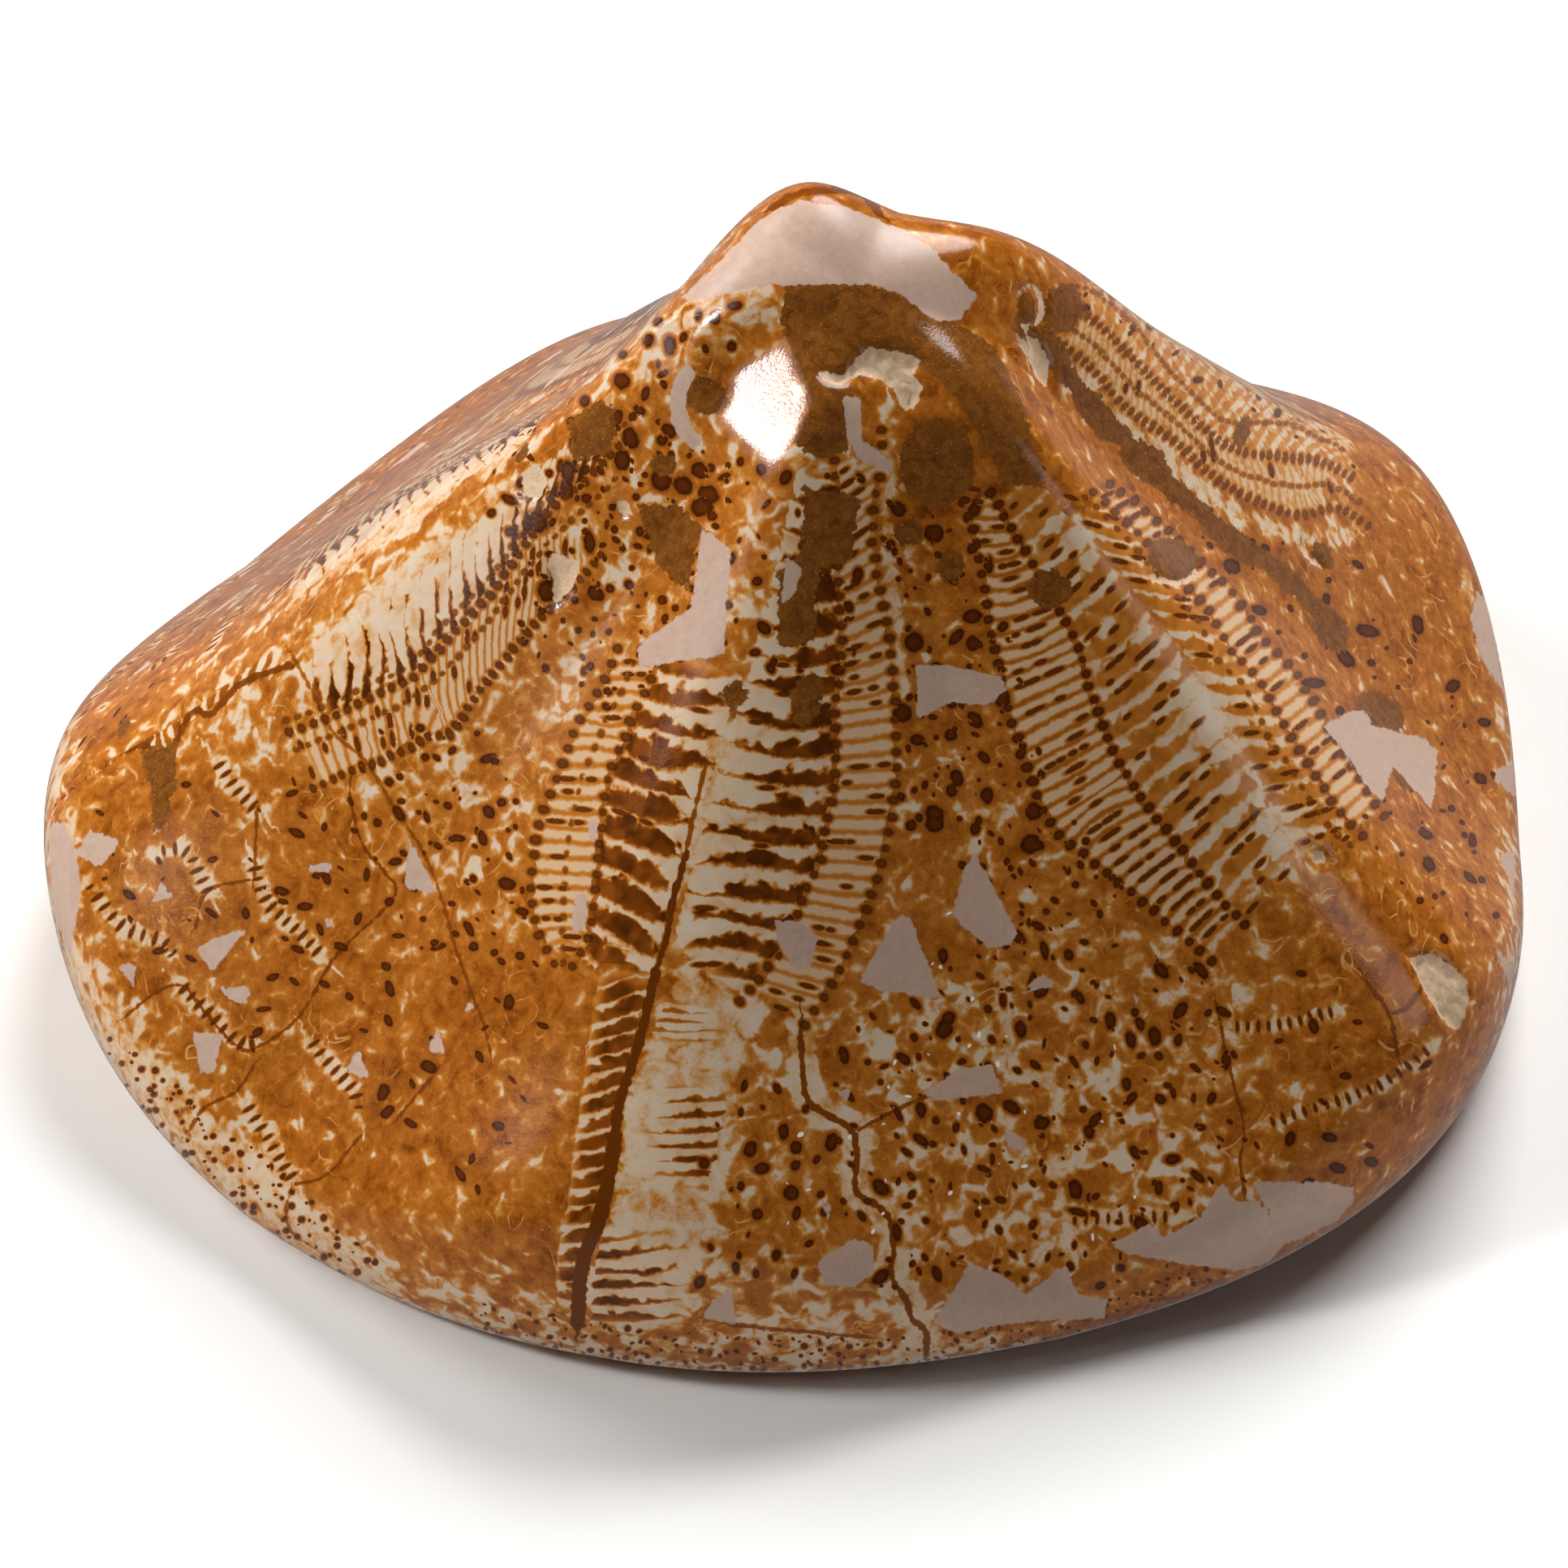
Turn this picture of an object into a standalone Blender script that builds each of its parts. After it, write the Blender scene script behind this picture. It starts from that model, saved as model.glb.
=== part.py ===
"""Fossil sea urchin of the tall, bell-shaped kind: one polished stone, resting on its flat sole.

The urchin is drawn as a real one grew: five petals run down from the summit to the margin, with
a groove between each pair. One section is drawn along a petal's crest and one along a groove, both
are stretched to the margin's own reach at every bearing, and the surface swells from the groove to
the crest and back as it goes round. Sizes below are millimetres. A bearing is in degrees, 0 at the
front (-Y) and growing towards the right (+X). The origin is on the sole, under the box's middle.
"""
import math

import bmesh
import bpy
import numpy as np

MM = 0.001

# Petal, its bearing, the margin's reach at its crest, and the reach in the groove that follows it.
PETALS = (
    ("left", -88.5, 68.0, 57.0),
    ("front", -23.0, 53.5, 44.5),
    ("right", 62.5, 56.5, 52.5),
    ("back_right", 128.5, 64.5, 68.0),
    ("back_left", 200.0, 60.0, 64.0),
)

# The section, from the summit down over the margin and in under the sole: share of the margin's
# reach, height of a petal's crest, height of a groove, and a petal's half width in degrees.
SECTION = (
    (0.00, 63.0, 63.0, 34.0),
    (0.10, 63.0, 62.5, 28.0),
    (0.20, 63.0, 60.5, 25.0),
    (0.33, 56.0, 50.0, 23.0),
    (0.48, 47.5, 42.0, 22.0),
    (0.62, 39.0, 33.0, 21.0),
    (0.76, 29.0, 22.5, 20.0),
    (0.88, 22.5, 14.5, 21.0),
    (0.97, 18.0, 8.5, 22.0),
    (1.005, 13.5, 4.5, 24.0),
    (0.99, 1.0, -0.5, 26.0),
    (0.93, 0.5, 0.5, 28.0),
    (0.82, 0.0, 0.0, 30.0),
    (0.70, 0.0, 0.0, 30.0),
)

# Lumps that the summit carries behind the petals' meeting point: x, y, spread and height.
KNOB = (-5.0, 7.0, 12.0, 9.0)
SHOULDER = (14.5, 12.0, 11.5, 4.5)

# The mouth is a funnel in the middle of the sole.
MOUTH_RADIUS = 9.0
MOUTH_DEPTH = 5.0

# Rings of facets: their corners near the summit, and their number on each stretch below it.
COLUMNS = 80
SUMMIT_CORNERS = (8, 16, 24, 32, 40, 48, 56, 64, 72)
SUMMIT_STATION = 2
SLOPE_RINGS = 31
MARGIN_STATION = 9
MARGIN_RINGS = 9
SOLE_STATION = len(SECTION) - 1
SOLE_RINGS = 4
MOUTH_CORNERS = (56, 40, 24, 12)

STONE_COLOUR = (0.42, 0.19, 0.06, 1.0)


def spline(controls, place):
    """Read a smooth curve through a column of the section; place counts its stations from 0."""
    controls = np.asarray(controls, float)
    ends = np.concatenate([[2 * controls[0] - controls[1]], controls, [2 * controls[-1] - controls[-2]]])
    first = np.clip(np.floor(place).astype(int), 0, len(controls) - 2)
    return blend(place - first, ends[first], ends[first + 1], ends[first + 2], ends[first + 3])


def ring_spline(controls, place):
    """The same curve through values that close on themselves round the urchin."""
    controls = np.asarray(controls, float)
    first = np.floor(place).astype(int)
    around = [controls[(first + step) % len(controls)] for step in (-1, 0, 1, 2)]
    return blend(place - first, *around)


def blend(f, before, here, after, beyond):
    """Cubic B-spline weights, so that slope and curvature run on through every station."""
    return ((1 - f) ** 3 * before + (3 * f ** 3 - 6 * f ** 2 + 4) * here
            + (1 + 3 * f + 3 * f ** 2 - 3 * f ** 3) * after + f ** 3 * beyond) / 6


def petal_turn(bearing):
    """Bearing in turns of the petal pattern: a whole number on each crest, a half in each groove."""
    crests = [petal[1] for petal in PETALS]
    wrapped = [crest + turn for turn in (-360, 0, 360) for crest in crests]
    return np.interp(bearing, wrapped, np.arange(-5, 10))


def margin_reach(bearing):
    """Distance from the summit's axis to the margin."""
    reaches = [reach for petal in PETALS for reach in petal[2:]]
    return ring_spline(reaches, 2 * petal_turn(bearing))


def lump(x, y, shape):
    """Height that a round lump adds at a place."""
    return shape[3] * np.exp(-((x - shape[0]) ** 2 + (y - shape[1]) ** 2) / shape[2] ** 2)


def surface(bearing, station):
    """Point of the outside at a bearing and a place along the section, about the summit's axis."""
    share, crest, groove, width = (spline(column, station) for column in zip(*SECTION))
    turn = petal_turn(bearing)
    off_crest = 72 * (turn - np.round(turn))
    swell = np.exp(-(off_crest / width) ** 2)
    reach = margin_reach(bearing) * share
    x = reach * np.sin(np.radians(bearing))
    y = -reach * np.cos(np.radians(bearing))
    upper = station < MARGIN_STATION
    z = groove + swell * (crest - groove) + upper * (lump(x, y, KNOB) + lump(x, y, SHOULDER))
    return np.stack([x, y, np.maximum(z, 0.0)], axis=-1)


def box_middle():
    """Middle of the margin's box, seen from above."""
    bearings = np.linspace(-180, 180, 1440, endpoint=False)
    margin = surface(bearings, np.full(bearings.shape, float(MARGIN_STATION)))
    return (margin.min(axis=0) + margin.max(axis=0)) / 2 * (1, 1, 0)


def bearings_of(count):
    return np.linspace(-180, 180, count, endpoint=False)


def outside_rings():
    """Rings of points from just under the summit to the sole's edge."""
    stations = list(np.linspace(0, SUMMIT_STATION, len(SUMMIT_CORNERS) + 1)[1:])
    stations += list(np.linspace(SUMMIT_STATION, MARGIN_STATION, SLOPE_RINGS + 1)[1:])
    stations += list(np.linspace(MARGIN_STATION, SOLE_STATION, MARGIN_RINGS + 1)[1:])
    counts = list(SUMMIT_CORNERS) + [COLUMNS] * (SLOPE_RINGS + MARGIN_RINGS)
    return [surface(bearings_of(count), np.full(count, station))
            for count, station in zip(counts, stations)]


def circle(count, radius, height):
    """Ring of points about the middle of the sole."""
    angles = np.radians(bearings_of(count))
    return np.stack([radius * np.sin(angles), -radius * np.cos(angles), np.full(count, height)], axis=-1)


def sole_rings(edge):
    """Flat rings that turn from the sole's edge into the mouth's round lip."""
    lip = circle(COLUMNS, MOUTH_RADIUS, 0.0)
    shares = np.linspace(0, 1, SOLE_RINGS + 1)[1:]
    return [edge + share * (lip - edge) for share in shares]


def mouth_rings():
    """Rings down the mouth's funnel, which leaves the sole and meets its throat smoothly."""
    made = []
    for index, count in enumerate(MOUTH_CORNERS):
        share = (index + 1) / (len(MOUTH_CORNERS) + 1)
        height = MOUTH_DEPTH * math.sin(share * math.pi / 2) ** 2
        made.append(circle(count, MOUTH_RADIUS * (1 - share), height))
    return made


def stitch(mesh, upper, lower):
    """Join two rings, which may differ in count, with one band of triangles facing out."""
    above, below = 0, 0
    while above < len(upper) or below < len(lower):
        corner_a = upper[above % len(upper)]
        corner_b = lower[below % len(lower)]
        if below == len(lower) or (above < len(upper)
                                   and (above + 1) / len(upper) <= (below + 1) / len(lower)):
            above += 1
            mesh.faces.new((corner_a, corner_b, upper[above % len(upper)]))
        else:
            below += 1
            mesh.faces.new((corner_a, corner_b, lower[below % len(lower)]))


def cap(mesh, tip, ring, facing_up):
    """Close a ring with a fan of triangles on one point."""
    for index, corner in enumerate(ring):
        after = ring[(index + 1) % len(ring)]
        mesh.faces.new((tip, corner, after) if facing_up else (tip, after, corner))


def polished_stone():
    """Limestone with a wax-like polish."""
    material = bpy.data.materials.new("polished_stone")
    material.use_nodes = True
    shader = material.node_tree.nodes["Principled BSDF"]
    shader.inputs["Base Color"].default_value = STONE_COLOUR
    shader.inputs["Roughness"].default_value = 0.12
    shader.inputs["Metallic"].default_value = 0.0
    return material


def sea_urchin():
    """The whole fossil as one closed body."""
    middle = box_middle()
    mesh = bmesh.new()

    def corners(points):
        return [mesh.verts.new(point * MM) for point in points]

    outside = [ring - middle for ring in outside_rings()]
    rings = [corners(ring) for ring in outside + sole_rings(outside[-1]) + mouth_rings()]
    summit = corners(surface(np.zeros(1), np.zeros(1)) - middle)[0]
    throat = corners([np.array([0.0, 0.0, MOUTH_DEPTH])])[0]
    cap(mesh, summit, rings[0], True)
    for upper, lower in zip(rings, rings[1:]):
        stitch(mesh, upper, lower)
    cap(mesh, throat, rings[-1], False)

    data = bpy.data.meshes.new("sea_urchin")
    mesh.to_mesh(data)
    mesh.free()
    data.shade_smooth()
    data.materials.append(polished_stone())
    urchin = bpy.data.objects.new("sea_urchin", data)
    bpy.context.scene.collection.objects.link(urchin)
    return urchin


def build():
    for old in list(bpy.data.objects):
        bpy.data.objects.remove(old, do_unlink=True)
    sea_urchin()


build()
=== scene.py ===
"""Fossil sea urchin, cut and polished: the fine surface, its markings, the floor, light and camera."""
import math
from types import SimpleNamespace

import bpy
import numpy as np
from mathutils import Matrix, Vector


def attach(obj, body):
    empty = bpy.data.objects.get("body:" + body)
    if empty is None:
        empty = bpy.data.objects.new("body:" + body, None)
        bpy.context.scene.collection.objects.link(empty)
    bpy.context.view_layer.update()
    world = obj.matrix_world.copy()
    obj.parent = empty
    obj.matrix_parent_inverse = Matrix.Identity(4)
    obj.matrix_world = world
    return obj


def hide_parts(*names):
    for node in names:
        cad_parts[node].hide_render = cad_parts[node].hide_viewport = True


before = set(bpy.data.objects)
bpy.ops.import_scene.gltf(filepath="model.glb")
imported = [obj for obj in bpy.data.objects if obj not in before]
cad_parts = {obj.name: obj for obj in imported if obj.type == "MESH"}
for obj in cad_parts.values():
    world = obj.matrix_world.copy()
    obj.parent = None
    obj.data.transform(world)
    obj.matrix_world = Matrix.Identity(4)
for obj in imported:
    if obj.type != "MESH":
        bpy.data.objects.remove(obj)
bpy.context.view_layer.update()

MM = 0.001
chance = np.random.default_rng(11)

# ---------------------------------------------------------------- the form, in millimetres
# Petal, its bearing (0 at the front, growing to the right), the margin's reach at its crest and
# in the groove that follows it.
PETALS = (
    ("left", -88.5, 68.0, 57.0),
    ("front", -23.0, 53.5, 44.5),
    ("right", 62.5, 56.5, 52.5),
    ("back_right", 128.5, 64.5, 68.0),
    ("back_left", 200.0, 60.0, 64.0),
)
# Share of the reach, height on a petal's crest, height in a groove, half width of a petal.
SECTION = (
    (0.00, 63.0, 63.0, 34.0),
    (0.10, 63.0, 62.5, 28.0),
    (0.20, 63.0, 60.5, 25.0),
    (0.33, 56.0, 50.0, 23.0),
    (0.48, 47.5, 42.0, 22.0),
    (0.62, 39.0, 33.0, 21.0),
    (0.76, 29.0, 22.5, 20.0),
    (0.88, 22.5, 14.5, 21.0),
    (0.97, 18.0, 8.5, 22.0),
    (1.005, 13.5, 4.5, 24.0),
    (0.99, 1.0, -0.5, 26.0),
    (0.93, 0.5, 0.5, 28.0),
    (0.82, 0.0, 0.0, 30.0),
    (0.70, 0.0, 0.0, 30.0),
)
# Lumps that the summit carries behind the petals' meeting point: x, y, spread and height.
KNOB = (-5.0, 7.0, 12.0, 9.0)
SHOULDER = (14.5, 12.0, 11.5, 4.5)
MOUTH_RADIUS = 9.0
MOUTH_DEPTH = 5.0

# Places along the section, counted in its rows: the margin's widest line, where it has turned in
# under the stone, and the sole's edge.
MARGIN_STATION = 9
UNDER_STATION = 10.0
SOLE_STATION = len(SECTION) - 1

# Side of the facets, in millimetres: fine over the domed side, wider under the sole, which nothing
# fine crosses, and in the mouth's throat.
FACET = 0.51
SOLE_FACET = 1.4
THROAT_FACET = 1.0
ROW_SHARE = 0.87        # from one ring to the next, as a share of the facets' side
SOLE_RINGS = 22
THROAT_RINGS = 12

# ---------------------------------------------------------------- the drawing
# The markings are laid out on a flat drawing, 1932 units square, that looks at the stone from
# the front and 44.5 degrees above. A place on the drawing lies on the stone straight behind it.
SHEET = 1932.0
SIGHT_RISE = 44.5
SIGHT_REACH = 552.0
SIGHT_AIM = (-5.6, 0.0, 17.3)
SIGHT_FOCUS = 8474.0
PER_MM = SIGHT_FOCUS / SIGHT_REACH
OFF_SHEET = -900.0      # where the sole is sent, which has no markings
# The drawing shows the stone from the left petal's crest, turn 0, to the back right petal's, turn 3,
# and the summit all round, down to this place along the section, wherever it faces the eye.
SHOWN_TURNS = 3
SUMMIT_STATION = 3.3
FACES_EYE = 0.05        # the least cosine of a triangle that faces it
PLAIN_STATION = 10.9    # and past here, in under the stone, nothing is drawn


# ---------------------------------------------------------------- the form's surface
def blend(f, before, here, after, beyond):
    """Cubic B-spline weights, so that slope and curvature run on through every station."""
    return ((1 - f) ** 3 * before + (3 * f ** 3 - 6 * f ** 2 + 4) * here
            + (1 + 3 * f + 3 * f ** 2 - 3 * f ** 3) * after + f ** 3 * beyond) / 6


def spline(controls, place):
    """Read a smooth curve through a column of the section; place counts its stations from 0."""
    controls = np.asarray(controls, float)
    ends = np.concatenate([[2 * controls[0] - controls[1]], controls, [2 * controls[-1] - controls[-2]]])
    first = np.clip(np.floor(place).astype(int), 0, len(controls) - 2)
    return blend(place - first, ends[first], ends[first + 1], ends[first + 2], ends[first + 3])


def ring_spline(controls, place):
    """The same curve through values that close on themselves round the urchin."""
    controls = np.asarray(controls, float)
    first = np.floor(place).astype(int)
    return blend(place - first, *(controls[(first + step) % len(controls)] for step in (-1, 0, 1, 2)))


CREST_BEARINGS = [petal[1] + turn for turn in (-360, 0, 360) for petal in PETALS]
CREST_TURNS = np.arange(-len(PETALS), 2 * len(PETALS))
PETAL_ANGLE = 360 / len(PETALS)


def petal_turn(bearing):
    """Bearing in turns of the petal pattern: a whole number on each crest, a half in each groove."""
    return np.interp(bearing, CREST_BEARINGS, CREST_TURNS)


def turn_bearing(turn):
    """The bearing of a turn of the petal pattern."""
    return np.interp(turn, CREST_TURNS, CREST_BEARINGS)


def lump(x, y, shape):
    """Height that a round lump adds; its shape is x, y, spread and height."""
    return shape[3] * np.exp(-((x - shape[0]) ** 2 + (y - shape[1]) ** 2) / shape[2] ** 2)


def surface(bearing, station):
    """Point of the outside at a bearing and a place along the section, about the summit's axis."""
    share, crest, groove, width = (spline(column, station) for column in zip(*SECTION))
    turn = petal_turn(bearing)
    swell = np.exp(-(PETAL_ANGLE * (turn - np.round(turn)) / width) ** 2)
    reaches = [reach for petal in PETALS for reach in petal[2:]]
    reach = ring_spline(reaches, 2 * turn) * share
    x = reach * np.sin(np.radians(bearing))
    y = -reach * np.cos(np.radians(bearing))
    upper = station < MARGIN_STATION
    z = groove + swell * (crest - groove) + upper * (lump(x, y, KNOB) + lump(x, y, SHOULDER))
    return np.stack([x, y, np.maximum(z, 0.0)], axis=-1)


def bearings_of(count):
    return np.linspace(-180, 180, count, endpoint=False)


def box_middle():
    """Middle of the margin's box, seen from above: the place that the origin is under."""
    bearings = bearings_of(1440)
    margin = surface(bearings, np.full(bearings.shape, float(MARGIN_STATION)))
    return (margin.min(axis=0) + margin.max(axis=0)) / 2 * (1, 1, 0)


MIDDLE = box_middle()


def ring_plan():
    """Station and number of corners of each ring: FACET apart on the dome, wider under the sole."""
    stations = np.linspace(0, SOLE_STATION, 1600)
    bearings = bearings_of(60)
    grid = surface(bearings[:, None], stations[None, :])
    run = np.linalg.norm(np.diff(grid, axis=1), axis=-1).mean(axis=0)
    pitch = FACET + (SOLE_FACET - FACET) * np.clip((stations - UNDER_STATION) / 1.5, 0, 1)
    steps = np.concatenate([[0], np.cumsum(run / (ROW_SHARE * pitch[1:]))])
    picks = np.interp(np.arange(1, int(steps[-1]) + 1), steps, stations)
    girth = np.linalg.norm(grid - np.roll(grid, 1, axis=0), axis=-1).sum(axis=0)
    counts = np.interp(picks, stations, girth / pitch)
    return [(station, max(6, int(count))) for station, count in zip(picks, counts)]


def circle(radius, bearings):
    """Ring round the mouth's axis, level with the sole."""
    turn = np.radians(bearings)
    return radius * np.stack([np.sin(turn), -np.cos(turn), 0 * turn], axis=-1)


def stitch(upper, lower):
    """Band of triangles between two rings of corner numbers, which may differ in count."""
    band = []
    above, below = 0, 0
    while above < len(upper) or below < len(lower):
        edge = (upper[above % len(upper)], lower[below % len(lower)])
        spent = below == len(lower)
        if spent or (above < len(upper) and (above + 1) * len(lower) <= (below + 1) * len(upper)):
            above += 1
            band.append(edge + (upper[above % len(upper)],))
        else:
            below += 1
            band.append(edge + (lower[below % len(lower)],))
    return band


def stone_mesh():
    """Points, bearings, stations and triangles of the whole stone. Past the sole's edge the stations
    run on, one to the mouth's lip and one more to the bottom of its throat."""
    rings = []
    for station, count in ring_plan():
        bearings = bearings_of(count)
        rings.append((surface(bearings, np.full(count, station)) - MIDDLE, bearings, station))
    edge, bearings, _ = rings[-1]
    lip = circle(MOUTH_RADIUS, bearings)
    for share in np.linspace(0, 1, SOLE_RINGS)[1:]:
        rings.append((edge + share * (lip - edge), bearings, SOLE_STATION + share))
    for share in np.linspace(0, 1, THROAT_RINGS)[1:-1]:
        radius = MOUTH_RADIUS * (1 - share)
        bearings = bearings_of(int(2 * math.pi * radius / THROAT_FACET) + 6)
        ring = circle(radius, bearings)
        ring[:, 2] = MOUTH_DEPTH * math.sin(share * math.pi / 2) ** 2
        rings.append((ring, bearings, SOLE_STATION + 1 + share))
    points = [surface(np.zeros(1), np.zeros(1)) - MIDDLE]
    places = [(np.zeros(1), np.zeros(1))]
    numbers, count = [], 1
    for ring, bearings, station in rings:
        numbers.append(list(range(count, count + len(ring))))
        count += len(ring)
        points.append(ring)
        places.append((bearings, np.full(len(ring), station)))
    points.append(np.array([[0.0, 0.0, MOUTH_DEPTH]]))
    places.append((np.zeros(1), np.full(1, SOLE_STATION + 2.0)))
    faces = [(0, a, b) for a, b in zip(numbers[0], numbers[0][1:] + numbers[0][:1])]
    for upper, lower in zip(numbers, numbers[1:]):
        faces += stitch(upper, lower)
    faces += [(count, b, a) for a, b in zip(numbers[-1], numbers[-1][1:] + numbers[-1][:1])]
    bearing = np.concatenate([place[0] for place in places])
    station = np.concatenate([place[1] for place in places])
    return np.concatenate(points), bearing, station, np.array(faces)


# ---------------------------------------------------------------- reading the drawing
def sight_axes():
    """Directions back toward the eye and up the drawing, and the eye's own place."""
    rise = math.radians(SIGHT_RISE)
    back = np.array([0.0, -math.cos(rise), math.sin(rise)])
    up = np.array([0.0, math.sin(rise), math.cos(rise)])
    return back, up, np.array(SIGHT_AIM) - MIDDLE + back * SIGHT_REACH


def on_drawing(points):
    """Where points of the stone, in millimetres, fall on the drawing."""
    back, up, eye = sight_axes()
    ray = points - eye
    depth = -(ray @ back)
    return np.stack([SHEET / 2 + SIGHT_FOCUS * ray[..., 0] / depth,
                     SHEET / 2 - SIGHT_FOCUS * (ray @ up) / depth], axis=-1)


def corner_places(points, bearing, station, faces):
    """Place on the drawing of each corner of each triangle, and which triangles the drawing shows.
    It shows three petals and both grooves between them; the far side takes the same petals,
    mirrored about the outer petals' crests and meeting on the crest of the back left petal."""
    count = len(PETALS)
    turn = petal_turn(bearing)[faces]
    turn = turn + count * np.round((turn[:, :1] - turn) / count)
    middle = turn.mean(axis=1)
    lap = count * np.floor(middle / count)
    turn = turn - lap[:, None]
    middle = middle - lap
    a, b, c = points[faces[:, 0]], points[faces[:, 1]], points[faces[:, 2]]
    facing = np.cross(b - a, c - a)
    facing = (facing / np.linalg.norm(facing, axis=1, keepdims=True)) @ sight_axes()[0]
    height = station[faces].mean(axis=1)
    shown = (middle <= SHOWN_TURNS) | ((height < SUMMIT_STATION) & (facing > FACES_EYE))
    mirrored = np.where(middle[:, None] <= SHOWN_TURNS + 1, 2 * SHOWN_TURNS - turn, count - turn)
    far_side = on_drawing(surface(turn_bearing(mirrored), station[faces]) - MIDDLE)
    places = np.where(shown[:, None, None], on_drawing(points)[faces], far_side)
    places[height > PLAIN_STATION] = OFF_SHEET
    return places, shown


def trail(points, step=4.0):
    """Smooth path through given points of the drawing."""
    knots = np.asarray(points, float)
    ends = np.concatenate([[2 * knots[0] - knots[1]], knots, [2 * knots[-1] - knots[-2]]])
    path = []
    for a, b, c, d in zip(ends, ends[1:], ends[2:], ends[3:]):
        f = np.linspace(0, 1, max(2, int(np.linalg.norm(c - b) / step)), endpoint=False)[:, None]
        path.append(0.5 * (2 * b + (c - a) * f + (2 * a - 5 * b + 4 * c - d) * f ** 2
                           + (3 * b - a - 3 * c + d) * f ** 3))
    path.append(knots[-1:])
    return np.concatenate(path)


def measure(path, places):
    """Signed distance of places from a path, and distance along it."""
    start, run = path[:-1], np.diff(path, axis=0)
    length = np.maximum(np.linalg.norm(run, axis=1), 1e-6)
    before = np.concatenate([[0], np.cumsum(length)[:-1]])
    offset = places[:, None, :] - start[None]
    share = np.clip((offset * run).sum(-1) / length ** 2, 0, 1)
    gap = ((offset - share[..., None] * run) ** 2).sum(-1)
    near = gap.argmin(axis=1)
    row = np.arange(len(places))
    side = np.sign(run[near, 0] * offset[row, near, 1] - run[near, 1] * offset[row, near, 0])
    return side * np.sqrt(gap[row, near]), before[near] + share[row, near] * length[near]


def inside(outline, places):
    """Which places lie inside a closed outline."""
    x, y = places[:, 0], places[:, 1]
    hit = np.zeros(len(places), bool)
    for (x0, y0), (x1, y1) in zip(outline, np.roll(outline, -1, axis=0)):
        crosses = (y0 > y) != (y1 > y)
        hit ^= crosses & (x < (x1 - x0) * (y - y0) / (y1 - y0 + 1e-9) + x0)
    return hit


def depth_in(outline, places):
    """Distance inside an outline, negative outside."""
    outline = np.asarray(outline, float)
    gap, _ = measure(np.concatenate([outline, outline[:1]]), places)
    return np.where(inside(outline, places), 1, -1) * np.abs(gap)


def walk(path):
    """Distance walked at each point of a path."""
    return np.concatenate([[0], np.cumsum(np.linalg.norm(np.diff(path, axis=0), axis=1))])


def stops_on(path, stops):
    """Points of a path at some distances walked."""
    return np.stack([np.interp(stops, walk(path), path[:, k]) for k in (0, 1)], axis=-1)


def amid(first, second, share):
    """Path a share of the way from one path to another, or beyond them below 0 and above 1."""
    start, end = (stops_on(path, np.linspace(0, walk(path)[-1], 80)) for path in (first, second))
    return start + share * (end - start)


def spaced(path, pitch):
    """Points every pitch along a path, and the path's direction at each."""
    stops = np.arange(pitch / 2, walk(path)[-1], pitch)
    heading = stops_on(path, stops + 1) - stops_on(path, stops - 1)
    return stops_on(path, stops), np.arctan2(heading[:, 1], heading[:, 0])


# ---------------------------------------------------------------- the markings' layout
RIGHT_MIDDLE = ((1258, 561), (1347, 670), (1423, 760), (1480, 840), (1530, 930), (1570, 1000), (1610, 1070))
FRONT_SUTURE = ((987, 1258), (987, 1288), (994, 1353), (1017, 1372), (1048, 1391), (1055, 1418),
                (1055, 1468), (1078, 1483), (1097, 1506), (1101, 1544), (1097, 1571), (1117, 1602),
                (1124, 1625), (1140, 1640), (1141, 1667))
FRONT_GROUND = ((1085, 1200), (1290, 1120), (1500, 1200), (1560, 1440), (1400, 1600), (1060, 1600),
                (1010, 1330))
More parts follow.
